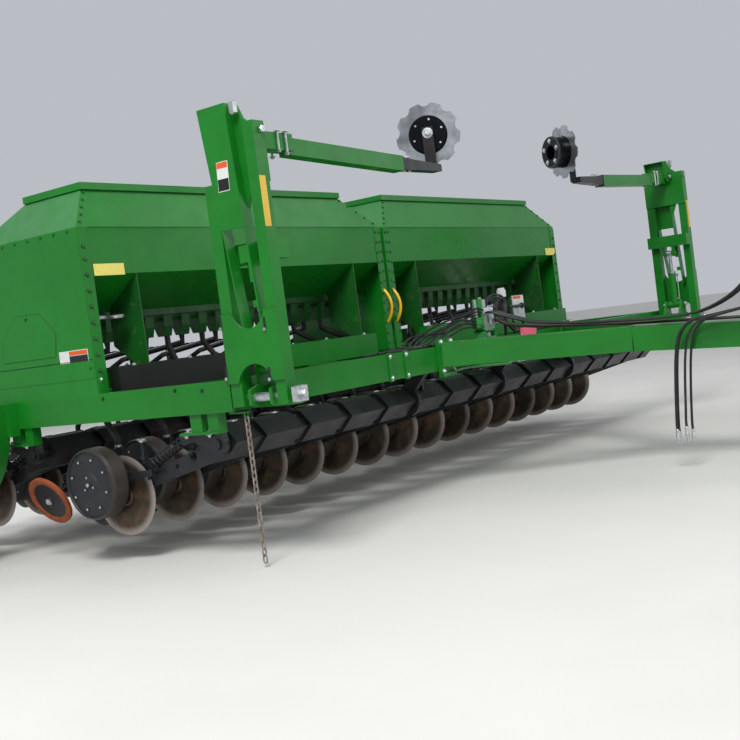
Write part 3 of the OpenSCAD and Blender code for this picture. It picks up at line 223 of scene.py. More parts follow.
def layered(name, colour, layers, settings):
    # a ground colour under layers of (hex, strength, kind, then that kind's own values):
    # patch lies in blotches, top lies in blotches on what faces up, ring lies outside a radius,
    # axle lies within a radius of a line through a point, span within a distance of the machine's middle,
    # beyond lies where the dot product with a direction is under a value
    material = bpy.data.materials.new(name)
    material.use_nodes = True
    tree = material.node_tree
    shader = tree.nodes["Principled BSDF"]
    where = add(tree, "ShaderNodeTexCoord").outputs["Object"]
    tone = linear(colour)
    for hexText, strength, kind, *values in layers:
        if kind == "ring":
            mask = roundAxle(tree, where, *values)
        elif kind == "axle":
            arm = add(tree, "ShaderNodeVectorMath", {0: where, 1: values[0]}, operation="SUBTRACT").outputs[0]
            arm = add(tree, "ShaderNodeVectorMath", {0: arm, 1: values[1]}, operation="CROSS_PRODUCT").outputs[0]
            apart = add(tree, "ShaderNodeVectorMath", {0: arm}, operation="LENGTH").outputs["Value"]
        elif kind == "beyond":
            apart = add(tree, "ShaderNodeVectorMath", {0: where, 1: values[0]},
                operation="DOT_PRODUCT").outputs["Value"]
        elif kind == "span":
            across = add(tree, "ShaderNodeSeparateXYZ", {"Vector": where}).outputs["X"]
            apart = add(tree, "ShaderNodeMath", {0: across}, operation="ABSOLUTE").outputs[0]
        else:
            mask = patches(tree, where, *values)
        if kind in ("axle", "beyond", "span"):
            # full under the kind's last value, gone 2 mm beyond it
            mask = add(tree, "ShaderNodeMapRange", {"Value": apart, "From Min": values[-1] + 0.002,
                "From Max": values[-1]}).outputs["Result"]
        if kind == "top":
            normal = add(tree, "ShaderNodeNewGeometry").outputs["Normal"]
            height = add(tree, "ShaderNodeSeparateXYZ", {"Vector": normal}).outputs["Z"]
            upward = add(tree, "ShaderNodeMapRange", {"Value": height, "From Min": 0.3, "From Max": 0.95})
            mask = add(tree, "ShaderNodeMath", {0: upward.outputs["Result"], 1: mask},
                operation="MULTIPLY").outputs[0]
        amount = add(tree, "ShaderNodeMath", {0: mask, 1: strength}, operation="MULTIPLY").outputs[0]
        tone = add(tree, "ShaderNodeMix", {"Factor": amount, 6: tone, 7: linear(hexText)},
            data_type="RGBA").outputs[2]
    tree.links.new(tone, shader.inputs["Base Color"])
    sheen = patches(tree, where, 150, 0.3, 0.7)
    rough = add(tree, "ShaderNodeMapRange", {"Value": sheen, "To Min": settings["rough"][0],
        "To Max": settings["rough"][1]}).outputs["Result"]
    tree.links.new(rough, shader.inputs["Roughness"])
    grainMm, strength = settings.get("grain", (6, 0.06))
    grain = patches(tree, where, grainMm, 0.2, 0.8, detail=3.0)
    bump = add(tree, "ShaderNodeBump", {"Height": grain, "Strength": strength, "Distance": 0.001})
    tree.links.new(bump.outputs["Normal"], shader.inputs["Normal"])
    shader.inputs["Metallic"].default_value = settings.get("metallic", 0.0)
    if "ior" in settings:
        shader.inputs["IOR"].default_value = settings["ior"]
    if "coat" in settings:
        shader.inputs["Coat Weight"].default_value = settings["coat"]
        shader.inputs["Coat Roughness"].default_value = 0.12
    return material


# sprayed enamel on sheet steel: even and glossy, dulled a little in broad patches; on what faces up, a pale blue-grey
# that is partly dust and partly painted sky sheen
sheetEnamel = layered("greenEnamelOnSheetSteel", "#0f7a1c", [
    ("#0a5c14", 0.35, "patch", 700, 0.35, 0.65),
    ("#0d5517", 0.08, "patch", 90, 0.50, 0.72, (1, 1, 0.12)),
    # pale blue-grey where the sheet faces up: painted sky sheen over some dust
    ("#a3b8b4", 0.34, "top", 160, 0.1, 0.6),
    ], {"rough": (0.26, 0.40), "ior": 1.42, "coat": 0.12})
# the same enamel on rolled tube: chipped at small spots to brown, dusty where it faces up
deepGreen = ("#0a5a14", 0.35, "patch", 500, 0.35, 0.65)
brownChips = ("#4a3a2e", 0.45, "patch", 26, 0.74, 0.80)
beamEnamel = layered("greenEnamelOnSteelTube", "#0f781b", [
    deepGreen,
    ("#145520", 0.25, "patch", 70, 0.50, 0.72, (0.15, 0.15, 1)),
    ("#8f8a72", 0.25, "top", 130, 0.3, 0.7),
    brownChips,
    ], {"rough": (0.28, 0.46), "ior": 1.42, "coat": 0.1})
# enamel on small pressings under the boxes: duller, with dust from the grain
bracketEnamel = layered("greenEnamelOnPressings", "#0d5c17", [
    ("#0c3d13", 0.55, "patch", 300, 0.35, 0.65),
    ("#7f7a60", 0.30, "patch", 40, 0.55, 0.75),
    ("#8f8a72", 0.35, "top", 90, 0.3, 0.7),
    ], {"rough": (0.36, 0.55), "ior": 1.5})
# the valve castings' own enamel: a lighter, fresher green, darkened where oil has run
valveEnamel = layered("lighterGreenValveEnamel", "#3a9446", [
    ("#1f6a2c", 0.5, "patch", 40, 0.4, 0.65)], {"rough": (0.4, 0.6), "ior": 1.5})
# black enamel on castings and forgings: satin, grey dust on top, brown where soil rubbed
castingEnamel = layered("blackEnamelOnCastings", "#0c0f12", [
    ("#15191e", 0.55, "patch", 220, 0.4, 0.65),
    ("#4a4436", 0.20, "top", 90, 0.3, 0.7),
    ("#3f3022", 0.30, "patch", 45, 0.62, 0.75),
    ], {"rough": (0.36, 0.58), "ior": 1.5, "coat": 0.1, "grain": (5, 0.14)})
# yellow enamel on wheel discs and handles
yellowEnamel = layered("yellowEnamel", "#f2c71a", [
    ("#cf9c10", 0.5, "patch", 200, 0.45, 0.7),
    ("#7b6a48", 0.4, "patch", 24, 0.68, 0.78)], {"rough": (0.3, 0.45), "ior": 1.5, "coat": 0.2})
# bright zinc plate: pale grey metal with a blue cast, duller and browner in spots
zincPlate = layered("brightZincPlate", "#cdd0d3", [
    ("#8f9298", 0.6, "patch", 35, 0.4, 0.7),
    ("#6b6255", 0.5, "patch", 14, 0.64, 0.78)], {"rough": (0.24, 0.46), "metallic": 0.9, "grain": (3, 0.05)})


def discSteel(name, at, axis):
    # polished scalloped disc, mirror-like with soil stains, round a hub in black enamel
    return layered(name, "#85888d", [
        ("#b9bdc2", 0.7, "patch", 260, 0.4, 0.6),
        ("#5f5347", 0.35, "patch", 90, 0.58, 0.78),
        ("#16181b", 1.0, "axle", at, axis, 0.1235)], {"rough": (0.2, 0.34), "metallic": 0.85, "grain": (8, 0.02)})


discPolish = {side: discSteel("polishedDiscSteel_" + side, (s * 0.97, -0.4275, 2.321), (0.8660254, -s * 0.5, 0))
    for side, s in (("right", -1), ("left", 1))}
# the front sill's outer length on the right is black as painted shade, the rest green
shadePaintedSillEnamel = layered("greenSillWithPaintedShade", "#0f781b", [
    deepGreen,
    ("#8f8a72", 0.20, "top", 130, 0.3, 0.7),
    # black beyond this line on the right: painted shade
    ("#101211", 1.0, "beyond", (1, 2, 0), -0.22)], {"rough": (0.3, 0.46), "ior": 1.42, "coat": 0.1})
# the tip's inner length and the disc's bracket are black, the root is green
tipEnamel = layered("twoColourTipEnamel", "#0f781b", [
    deepGreen, brownChips,
    ("#121113", 1.0, "span", 1.455)], {"rough": (0.3, 0.46), "ior": 1.42, "coat": 0.1})
# rusty cast rim, scoured by soil: matt orange brown with dark pits
rustyRim = layered("rustedCastRim", "#964822", [
    ("#6b3014", 0.6, "patch", 60, 0.4, 0.65),
    ("#bb7c50", 0.4, "patch", 25, 0.6, 0.75)], {"rough": (0.6, 0.8), "ior": 1.5, "grain": (5, 0.3)})
# chain steel: grey with brown rust all over
rustySteel = layered("rustedChainSteel", "#9c958d", [
    ("#6e5340", 0.55, "patch", 40, 0.4, 0.65)], {"rough": (0.45, 0.7), "metallic": 0.6, "grain": (4, 0.15)})
# tyre rubber: dull black under a film of road dust
tyreRubber = layered("tyreRubber", "#1a1a1b", [
    ("#4c463c", 0.5, "patch", 120, 0.4, 0.75)], {"rough": (0.6, 0.85), "ior": 1.52, "grain": (4, 0.12)})
# hydraulic hose cover: smooth black rubber
hoseRubber = layered("hydraulicHoseRubber", "#131416", [
    ("#3a3834", 0.35, "patch", 70, 0.45, 0.75)], {"rough": (0.36, 0.6), "ior": 1.52, "grain": (3, 0.1)})
# seed tube: corrugated black plastic, a little grey with dust
tubePlastic = layered("blackTubePlastic", "#1a1b1d", [
    ("#54504a", 0.4, "patch", 100, 0.4, 0.75)], {"rough": (0.4, 0.62), "ior": 1.48, "grain": (6, 0.2)})
# blank vinyl labels and their plain bands: flat colour, duller in small blotches
labelWhite = layered("blankLabelVinyl", "#d9dad6", [
    ("#a8a69c", 0.4, "patch", 30, 0.5, 0.75)], {"rough": (0.35, 0.5), "ior": 1.5})
labelOrange = layered("orangeLabelBand", "#e0581e", [
    ("#a83c12", 0.4, "patch", 25, 0.5, 0.75)], {"rough": (0.35, 0.5), "ior": 1.5})
# reflector tape in three colours: a glossy face over a fine mottle
reflectorYellow, paleReflector, reflectorRed = (
    layered(name, colour, [(mottle, 0.5, "patch", 8, 0.45, 0.6)], {"rough": (0.2, 0.35), "ior": 1.5, "coat": coat})
    for name, colour, mottle, coat in (("yellowReflectorTape", "#dcb408", "#c9a008", 0.5),
        ("lemonReflectorTape", "#efe070", "#d8c648", 0.3), ("redReflectorTape", "#a8141a", "#7d0e14", 0.3)))
# woven sleeve round one hose: matt tan, darker where oil has soaked in
hoseSleeve = layered("tanHoseSleeve", "#7a5e40", [
    ("#4c3b2a", 0.6, "patch", 60, 0.45, 0.7)], {"rough": (0.6, 0.8), "ior": 1.5, "grain": (3, 0.2)})
# marking ribbon: bright pink film, creased darker
tagPink = layered("pinkPlasticRibbon", "#f06a86", [
    ("#c8455f", 0.5, "patch", 20, 0.45, 0.65)], {"rough": (0.4, 0.55), "ior": 1.45})


def bladeSteel(name, axle):
    # hardened disc steel: brown soil film on the flat, ground and scoured pale towards the edge
    return layered(name, "#40392f", [
        ("#6b5240", 0.65, "patch", 90, 0.42, 0.68),
        ("#aca39d", 0.8, "ring", axle, 0.175, 0.222),
        ("#70462f", 0.38, "patch", 35, 0.60, 0.76)], {"rough": (0.38, 0.6), "metallic": 0.55, "grain": (5, 0.08)})


def gaugeRubber(name, axle):
    # a pressed steel face, blue-black, inside a rubber tyre that is brown with dust
    return layered(name, "#181b20", [
        ("#272b32", 0.6, "patch", 180, 0.4, 0.65),
        ("#3a322b", 0.85, "ring", axle, 0.188, 0.198),
        ("#2b2622", 0.5, "patch", 60, 0.45, 0.7)], {"rough": (0.4, 0.62), "ior": 1.5, "grain": (4, 0.1)})


# the openers' pitch, the height of the blades' middles, and the gauge axles behind and above those
openerPitch, bladeZ, gaugeY, gaugeZ = 0.381, 0.3785, 0.105, 0.091
ranks = {
    "front": {"xs": (np.arange(16) - 7.5) * openerPitch, "y": 0.7},
    "rear": {"xs": (np.arange(15) - 7.0) * openerPitch, "y": 2.23},
}
for rank, facts in ranks.items():
    facts["blade"] = bladeSteel("hardenedBladeSteel_" + rank, (facts["y"], bladeZ))
    facts["gauge"] = gaugeRubber("gaugeWheelRubber_" + rank, (facts["y"] + gaugeY, bladeZ + gaugeZ))
print("materials made")

finishOf = {
    sheetEnamel: "hopper_right hopper_left box_roofs box_ends lid_right lid_left",
    beamEnamel: "front_beam rear_beams long_beams shaft_hangers tongue hitch wheel_arms marker_bases "
        "marker_arm_right marker_arm_left marker_cylinder_right marker_cylinder_left",
    bracketEnamel: "box_dividers feed_cups",
    castingEnamel: "rockshaft_front rockshaft_rear opener_arms_front opener_arms_rear springs_front springs_rear "
        "jack_tube lift_cylinders walkboard shaft_bearings",
    yellowEnamel: "rim_right rim_left grab_handles",
    zincPlate: "jack_leg hose_couplers marker_rod_right marker_rod_left lift_rod_front lift_rod_rear valve_block",
    **{facts["blade"]: "blades_" + rank for rank, facts in ranks.items()},
    **{facts["gauge"]: "gauge_wheels_" + rank for rank, facts in ranks.items()},
    **{polish: "marker_disc_" + side for side, polish in discPolish.items()},
    tipEnamel: "marker_tip_right marker_tip_left",
    rustyRim: "closing_wheels_front closing_wheels_rear",
    rustySteel: "chain",
    shadePaintedSillEnamel: "box_sills",
    tyreRubber: "tyre_right tyre_left",
    hoseRubber: "hose_1 hose_2 hose_3 hose_4",
    tubePlastic: "seed_tubes_front seed_tubes_rear",
}
for material, names in finishOf.items():
    for name in names.split():
        cadMesh = nodes[name].data
        if not cadMesh.materials:
            cadMesh.materials.append(material)
        for i in range(len(cadMesh.materials)):
            cadMesh.materials[i] = material
print("CAD nodes finished, left over:", [n for n in nodes if n not in " ".join(finishOf.values()).split()])


# Hoses: four from the valve over the holder bar, hanging beside the tongue

hoseSet = {
    "diameter": 0.016, "sides": 12, "steps": 5,
    # each hose's place across, its coupler's height and how far back it hangs, in millimetres
    "runs": [(-190, 130, 60), (-224, 150, 60), (-156, 140, -15), (-258, 170, -15)],
}


def hoseRoute(across, low, back):
    # the route's points from the valve to the coupler: millimetres in, metres out
    x, y, out = across, back, across - 60
    return np.array([
        (out, -310.3, 1150), (out, -350, 1149), (x - 40, -440, 1110), (x - 20, -620, 1050),
        (x, -800, 1020), (x + 10, -1000, 1000), (x + 20, -1250, 985), (x + 40, -1500, 975),
        (x + 60, -1750, 985), (x + 80, -1950, 1060), (x + 80, -2100, 1180), (x + 65, -2226, 1296),
        (x + 40, -2290, 1320), (x + 15, -2354, 1296), (x - 10, -2380, 1230),
        (x - 25, -2370, 1160), (x - 35, -2320, 1085), (x - 45, -2230, 1030), (x - 50, -2100, 990),
        (x - 55, -1950 + y / 2, 965), (out, -1830 + y, 945), (out, -1760 + y, 915), (out, -1715 + y, 860),
        (out, -1690 + y, 790), (out, -1672 + y, 700), (out, -1655 + y, 560), (out, -1640 + y, 400),
        (out, -1632 + y, low + 150), (out, -1632 + y, low + 110)]) / 1000


# hanging quick coupler: crimped ferrule, hexagon, sleeve and nose, as (radius, height)
ferrule = revolve([(0, 0), (0.0095, 0), (0.011, -0.003), (0.011, -0.024), (0.0095, -0.027), (0, -0.027)], 16)
hexagon = revolve([(0, -0.026), (0.0115, -0.026), (0.0128, -0.028), (0.0128, -0.038), (0.0115, -0.040),
    (0, -0.040)], 6)
sleeve = revolve([(0, -0.039), (0.010, -0.039), (0.0128, -0.043), (0.0128, -0.068), (0.0115, -0.071),
    (0.0085, -0.073), (0.0085, -0.088), (0.0065, -0.0897), (0, -0.0897)], 20)
hoses = []
for k, run in enumerate(hoseSet["runs"]):
    route = hoseRoute(*run)
    line = smoothPath(route, hoseSet["steps"])
    hose = makePiece(f"hose{k + 1}", tube(line, hoseSet["diameter"] / 2, hoseSet["sides"]),
        hoseRubber, "frame")
    coupler = makePiece(f"hoseCoupler{k + 1}", stamp(joined(ferrule, hexagon, sleeve), [place(route[-1])]),
        zincPlate, "frame", 25)
    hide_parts(f"hose_{k + 1}")
    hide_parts("hose_couplers")
    length = float(np.linalg.norm(np.diff(line, axis=0), axis=1).sum())
    hoses.append(length)
print("hoses hung, lengths:", [round(v, 2) for v in hoses])


# Fasteners: a hexagon head on its washer, standing on z = 0

def bolt(size, washer=True):
    # revolved head of six sides and washer of ten, for an across-flats size in metres
    r = size * 0.577
    head = revolve([(r, 0.1 * size), (r, 0.55 * size), (0.82 * r, 0.68 * size), (0, 0.68 * size)], 6)
    if not washer:
        return head
    return joined(head, revolve([(1.75 * r, 0), (1.75 * r, 0.11 * size), (0.5 * r, 0.14 * size)], 10))


# the turn that points a bolt's head each way, and the way outwards on each side of the machine
towards = {"-X": (0, -90, 0), "+X": (0, 90, 0), "-Y": (90, 0, 0), "+Y": (-90, 0, 0), "+Z": (0, 0, 0), "-Z": (180, 0, 0)}
outwards = {-1: "-X", 1: "+X"}


def boltsAt(size, side, points, washer=True):
    # bolts of one size, their heads towards one side
    return stamp(bolt(size, washer), [place(p, towards[side]) for p in points])


def bothSides(points):
    # the points on the right of the machine, then on the left
    return [(s * x, y, z) for s in (-1, 1) for x, y, z in points]


def boltCircle(middle, radius, count, start):
    # count points round a line along X: (x, y + radius cos t, z + radius sin t), from t = start degrees
    x, y, z = middle
    turns = np.radians(np.arange(count) * (360 // count) + start)
    return [(x, y + radius * math.cos(t), z + radius * math.sin(t)) for t in turns]


# Openers: what each row carries, drawn with its blade's middle at the origin

rowSet = {
    "spring": {"a": (0.040, -0.230, 0.170), "b": (0.040, -0.480, 0.285), "radius": 0.029, "wire": 0.0052, "turns": 8},
    "gaugeFaceX": -0.1552, "gaugeHubX": -0.1612, "gaugeBoltRadius": 0.145, "hubBoltRadius": 0.042,
    "closingAt": (-0.060, 0.600, -0.011), "closingCamber": 65,
}


def coilSpring(a, b, radius, wire, turns, perTurn=14, sides=6):
    # wire's path at t is the axis line at t + radius (cos w u + sin w v), w running through all the turns
    a, b = np.asarray(a, float), np.asarray(b, float)
    along = (b - a) / np.linalg.norm(b - a)
    u = np.array([1.0, 0, 0])
    v = np.cross(along, u)
    t = np.linspace(0, 1, turns * perTurn + 1)[:, None]
    w = t * turns * 2 * math.pi
    axisLine = a + along * wire + t * (b - a - 2 * along * wire)
    return tube(axisLine + radius * (np.cos(w) * u + np.sin(w) * v), wire, sides)


spring = coilSpring(**rowSet["spring"])
springRod = tube(np.linspace(rowSet["spring"]["a"], rowSet["spring"]["b"], 4), 0.011, 10)
gaugeFace, gaugeHub = (rowSet["gaugeFaceX"], gaugeY, gaugeZ), (rowSet["gaugeHubX"], gaugeY, gaugeZ)
gaugeBolts = joined(
    boltsAt(0.013, "-X", boltCircle(gaugeFace, rowSet["gaugeBoltRadius"], 8, 17), False),
    boltsAt(0.012, "-X", boltCircle(gaugeHub, rowSet["hubBoltRadius"], 3, 80), False),
    boltsAt(0.021, "-X", [gaugeHub], False))
camber = place(rowSet["closingAt"], (0, rowSet["closingCamber"], 0))
closingDisc = stamp(revolve([(0, -0.015), (0.026, -0.015), (0.030, -0.012), (0.034, -0.005), (0.080, -0.003),
    (0.1215, -0.005), (0.1215, 0.005), (0.080, 0.003), (0.034, 0.005), (0.030, 0.012), (0.026, 0.015), (0, 0.015)],
    28), [camber])
closingRim = stamp(revolve([(0.119, -0.005), (0.128, -0.012), (0.136, -0.014), (0.153, -0.013), (0.160, -0.008),
    (0.160, 0.008), (0.153, 0.013), (0.136, 0.014), (0.128, 0.012), (0.119, 0.005), (0.119, -0.005)], 40), [camber])
lean = math.radians(90 - rowSet["closingCamber"])
closingFace = np.array(rowSet["closingAt"]) - 0.015 * np.array((math.cos(lean), 0, math.sin(lean)))
closingBolt = stamp(bolt(0.022), [place(closingFace, (0, rowSet["closingCamber"] - 180, 0))])
pressWheel = stamp(revolve([(0, 0.006), (0.020, 0.006), (0.024, 0.010), (0.070, 0.010), (0.084, 0.003),
    (0.102, 0.002), (0.119, 0.005), (0.125, 0.011), (0.125, 0.015), (0.119, 0.021), (0.102, 0.024), (0.084, 0.023),
    (0.070, 0.016), (0, 0.016)], 28), [place((0.082, 0.330, -0.070), (0, 90, 0))])
# depth handle: a stem, a cross bar and a nut
handle = joined(tube([(0.040, -0.150, 0.262), (0.040, -0.150, 0.304)], 0.0075, 8),
    tube([(0.040, -0.182, 0.302), (0.040, -0.118, 0.302)], 0.0065, 8),
    boltsAt(0.030, "+Z", [(0.040, -0.150, 0.290)], False))
pivotBolts = joined(boltsAt(0.024, "-X", [(-0.003, -0.568, 0.2005)], False),
    boltsAt(0.024, "+X", [(0.0825, -0.568, 0.2005)], False))
armBolts = joined(
    boltsAt(0.018, "+X", [(0.0925, y, z) for y, z in ((0.098, 0.20), (0.095, 0.12), (0.085, 0.0), (0.118, -0.10))],
        False),
    boltsAt(0.020, "+X", [(0.0802, 0.300, 0.055), (0.0802, 0.500, 0.045)], False),
    boltsAt(0.020, "-X", [(0.0218, -0.420, 0.150), (0.0218, -0.200, 0.090)], False))
bootStrip = plate([(0.118, 0.03), (0.135, 0.02), (0.170, -0.19), (0.152, -0.196)], 0.0578, 0.0925, "X", 0.002)
hoseClamp = stamp(revolve([(0.0192, -0.008), (0.0215, -0.006), (0.0215, 0.006), (0.0192, 0.008)], 14),
    [place((0.075, 0.092, 0.275))])
for rank, facts in ranks.items():
    rows = [place((x, facts["y"], bladeZ)) for x in facts["xs"]]
    body = "openers_" + rank
    springs = makePiece("springs_" + rank, stamp(joined(spring, springRod), rows),
        castingEnamel, body)
    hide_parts("springs_" + rank)
    discs = makePiece("closingDiscs_" + rank, stamp(joined(closingDisc, pressWheel), rows),
        castingEnamel, body)
    rims = makePiece("closingRims_" + rank, stamp(closingRim, rows), rustyRim, body)
    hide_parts("closing_wheels_" + rank)
    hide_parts("closing_wheels_" + rank)
    makePiece("openerBolts_" + rank, stamp(joined(gaugeBolts, closingBolt, handle), rows),
        zincPlate, body, 30)
    makePiece("bootStrips_" + rank, stamp(joined(bootStrip, pivotBolts, armBolts), rows),
        castingEnamel, body)
    makePiece("tubeClamps_" + rank, stamp(hoseClamp, rows), zincPlate, "frame")
print("openers dressed")


# Markers: pins, bolts, labels and hubs on each side, s = -1 on the right and 1 on the left

markerSet = {
    "midY": -0.4925, "face": 2.950, "plateFace": 2.962, "pinRadius": 0.0225,
    # each bolt slot as (y, z), and the two tip bolts as (x, low end, high end)
    "slots": [(-0.308, 1.267), (-0.599, 1.236), (-0.303, 1.013), (-0.589, 0.990)],
    "tipBolts": [(2.614, 2.108, 2.204), (2.550, 2.096, 2.204)],
}


def rodAlong(axis, a, b, at, radius, sides=16):
    # a plain rod from a to b along X, Y or Z through the other two values in at
    start = list(at)
    start.insert("XYZ".index(axis), a)
    e = min(0.001, radius * 0.2)
    return stamp(revolve([(0, 0), (radius - e, 0), (radius, e), (radius, b - a - e), (radius - e, b - a), (0, b - a)],
        sides), [place(start, towards["+" + axis])])


for side, s in (("right", -1), ("left", 1)):
    face, plateFace, mid = markerSet["face"], markerSet["plateFace"], markerSet["midY"]
    slots, tipBolts = markerSet["slots"], markerSet["tipBolts"]
    arm, disc = "marker_arm_" + side, "marker_disc_" + side

    def across(a, b):
        # two distances from the machine's middle, on this side, rising
        return sorted((s * a, s * b))

    makePiece(f"markerFootPin_{side}", joined(
        rodAlong("Y", -0.612, -0.396, (s * 2.905, 0.870), markerSet["pinRadius"], 24),
        block(across(2.8645, 2.9455), (-0.7355, -0.6995), (0.8295, 0.9105), 0.004),
        boltsAt(0.034, "-Y", [(s * 2.905, -0.7355, 0.870)]),
        boltsAt(0.026, "+Y", [(s * 2.83, mid + 0.092, 1.01)]), boltsAt(0.026, "-Y", [(s * 2.83, mid - 0.092, 1.01)])),
        zincPlate, "frame", 30)
    makePiece(f"markerBolts_{side}", joined(
        boltsAt(0.016, outwards[s], [(s * plateFace, y, z - 0.034) for y, z in slots], False),
        boltsAt(0.032, "-Y", [(s * 2.898, -0.675, 2.166)], False),
        block(across(2.921, 2.951), (-0.568, -0.540), (2.262, 2.330), 0.008),
        boltsAt(0.022, "-Y", [(s * 2.825, mid - 0.085, 2.172)]),
        boltsAt(0.022, "+Y", [(s * 2.825, mid + 0.085, 2.172)])), zincPlate, arm, 30)
    # black in the bolt slots as painted shade, and the dark part of the blank label
    makePiece(f"markerSlotShadeAndLabelPrint_{side}", joined(
        # painted shade filling each open bolt slot
        *[block(across(plateFace - 0.002, plateFace + 0.0006), (y - 0.008, y + 0.008), (z - 0.026, z + 0.026), 0.0003)
            for y, z in slots],
        plate([(-0.4065, 1.965), (-0.4785, 1.965), (-0.4765, 1.907), (-0.4045, 1.907)],
            *across(face, face + 0.0014), "X", 0.0003)), castingEnamel, arm)
    makePiece(f"markerReflector_{side}", block(across(2.904, 2.948), (-0.6768, -0.6745), (1.694, 1.941), 0.0008),
        reflectorYellow, arm)
    makePiece(f"markerLabel_{side}", plate([(-0.409, 2.050), (-0.485, 2.050), (-0.478, 1.903), (-0.402, 1.903)],
        *across(face - 0.001, face + 0.0008), "X", 0.0004), labelWhite, arm)
    makePiece(f"markerLabelBand_{side}", plate([(-0.411, 2.047), (-0.482, 2.047), (-0.480, 2.018), (-0.409, 2.018)],
        *across(face, face + 0.0014), "X", 0.0003), labelOrange, arm)
    clampYs = (mid - 0.052, mid + 0.052)
    makePiece(f"markerTipBolts_{side}", joined(
        *[rodAlong("Z", low, high, (s * x, y), 0.007, 10) for x, low, high in tipBolts for y in clampYs],
        *[boltsAt(0.018, way, [(s * x, y, z)]) for x, low, high in tipBolts for y in clampYs
            for way, z in (("+Z", high), ("-Z", low))],
        boltsAt(0.018, "-Z", [(s * 1.40, mid, 2.066), (s * 1.34, mid, 2.068)]),
        boltsAt(0.018, "+Z", [(s * 1.40, mid, 2.142), (s * 1.34, mid, 2.142)])),
        zincPlate, f"marker_tip_{side}", 30)
    discPlace = place((s * 0.97, mid + 0.065, 2.321), (0, 0, 30 if s < 0 else -30))
    hubBolts = joined(
        boltsAt(0.018, outwards[-s], boltCircle((-s * 0.110, 0, 0), 0.088, 5, 20)),
        boltsAt(0.034, outwards[s], [(s * 0.0785, 0, 0)]),
        boltsAt(0.014, outwards[s], boltCircle((s * 0.020, 0, 0), 0.095, 6, 40), False))
    hubRim = stamp(revolve([(0.1205, 0.094), (0.1235, 0.097), (0.1235, 0.107), (0.1205, 0.110), (0.112, 0.1105),
        (0.108, 0.1085)], 40), [place((0, 0, 0), (0, -90 * s, 0))])
    makePiece(f"markerHubBolts_{side}", stamp(hubBolts, [discPlace]), zincPlate, disc, 30)
    makePiece(f"markerHubRim_{side}", stamp(hubRim, [discPlace]), castingEnamel, disc)
    # two ports with the pipe between them, and the gland's ring
    makePiece(f"markerCylinderFittings_{side}", joined(
        *[block(across(2.818, 2.842), (mid - 0.052, mid - 0.029), (z, z + 0.020), 0.002) for z in (1.052, 1.268)],
        rodAlong("Z", 1.072, 1.268, (s * 2.83, mid - 0.045), 0.0055, 10),
        rodAlong("Z", 1.296, 1.313, (s * 2.83, mid), 0.0345, 24)),
        zincPlate, f"marker_cylinder_{side}", 30)
    # thin stay under the tongue's root
    makePiece(f"tongueStay_{side}", joined(tube(smoothPath([(s * 0.985, -0.331, 0.778), (s * 0.80, -0.335, 0.797),
        (s * 0.62, -0.338, 0.798), (s * 0.12, -0.345, 0.772)], 5), 0.009, 8),
        boltsAt(0.016, "-Y", [(s * 0.985, -0.338, 0.778)])), sheetEnamel, "frame")
print("markers dressed")


# Boxes: hatch, seams, small bolts, blank labels, reflectors, gauges, rear triangle

panelSet = {"x": 2.9502, "front": 0.6998, "seamWire": 0.0022}
hatch = [(1.341, 1.475), (1.124, 1.468), (0.997, 1.339), (1.025, 1.208), (1.519, 1.209), (1.485, 1.358)]
# the hatch's outline in short steps, so that the bead round it has sharp corners
ring = np.array(hatch + hatch[:1])
bead = np.concatenate([np.linspace(ring[i], ring[i + 1], 7)[:-1] for i in range(6)] + [ring[:1]])
seams, sheets, greens, whites, bands, blacks = [], [], [], [], [], []
for s in (-1, 1):
    x = s * panelSet["x"]
    seams += [tube(np.column_stack([np.full(len(bead), x), bead]), panelSet["seamWire"], 6),
        tube([(x, 0.704, 1.167), (x, 1.20, 1.166), (x, 1.696, 1.165)], panelSet["seamWire"], 6)]
    sheets += [plate(hatch, *sorted((x, x + s * 0.0022)), "X", 0.0015),
        block(sorted((x, x + s * 0.003)), (0.706, 1.694), (1.060, 1.162), 0.002),
        tube([(x - s * 0.001, 0.7015, z) for z in (1.06, 1.30, 1.60, 1.885)], 0.0045, 8)]
    greens += [boltsAt(0.014, outwards[s], [(x + s * 0.002, 1.25, 1.449), (x, 0.735, 1.12), (x, 1.66, 1.12)], False)]
    label, band = sorted((x, x + s * 0.0012)), sorted((x, x + s * 0.0018))
    whites += [plate([(0.742, 1.231), (0.993, 1.231), (0.993, 1.150), (0.742, 1.150)], *label, "X", 0.0004)]
    bands += [plate([(0.746, 1.227), (0.905, 1.227), (0.905, 1.203), (0.746, 1.203)], *band, "X", 0.0003)]
    blacks += [plate([(0.746, 1.200), (0.905, 1.200), (0.905, 1.154), (0.746, 1.154)], *band, "X", 0.0003),
        stamp(revolve([(0.011, 0), (0.011, 0.002), (0, 0.003)], 12),
            [place((x, y, z), (0, 90 * s, 0)) for y, z in ((0.669, 0.940), (0.093, 0.945), (-0.104, 0.931))])]
flangeZs = (1.10, 1.19, 1.28, 1.37, 1.46, 1.55, 1.64, 1.73, 1.80)
front, eaveYs = panelSet["front"], np.linspace(0.78, 1.62, 8)
greens += [boltsAt(0.015, "-Y", bothSides([(2.917, 0.6996, z) for z in flangeZs])),
    boltsAt(0.012, "-Y", bothSides([(0.085, front, z) for z in np.linspace(1.02, 1.87, 12)])),
    boltsAt(0.012, "-Y", bothSides([(0.042, front, z) for z in np.linspace(1.20, 1.87, 10)])),
    *[boltsAt(0.012, outwards[s], [(s * panelSet["x"], y, 1.893) for y in eaveYs], False) for s in (-1, 1)]]
hips = []
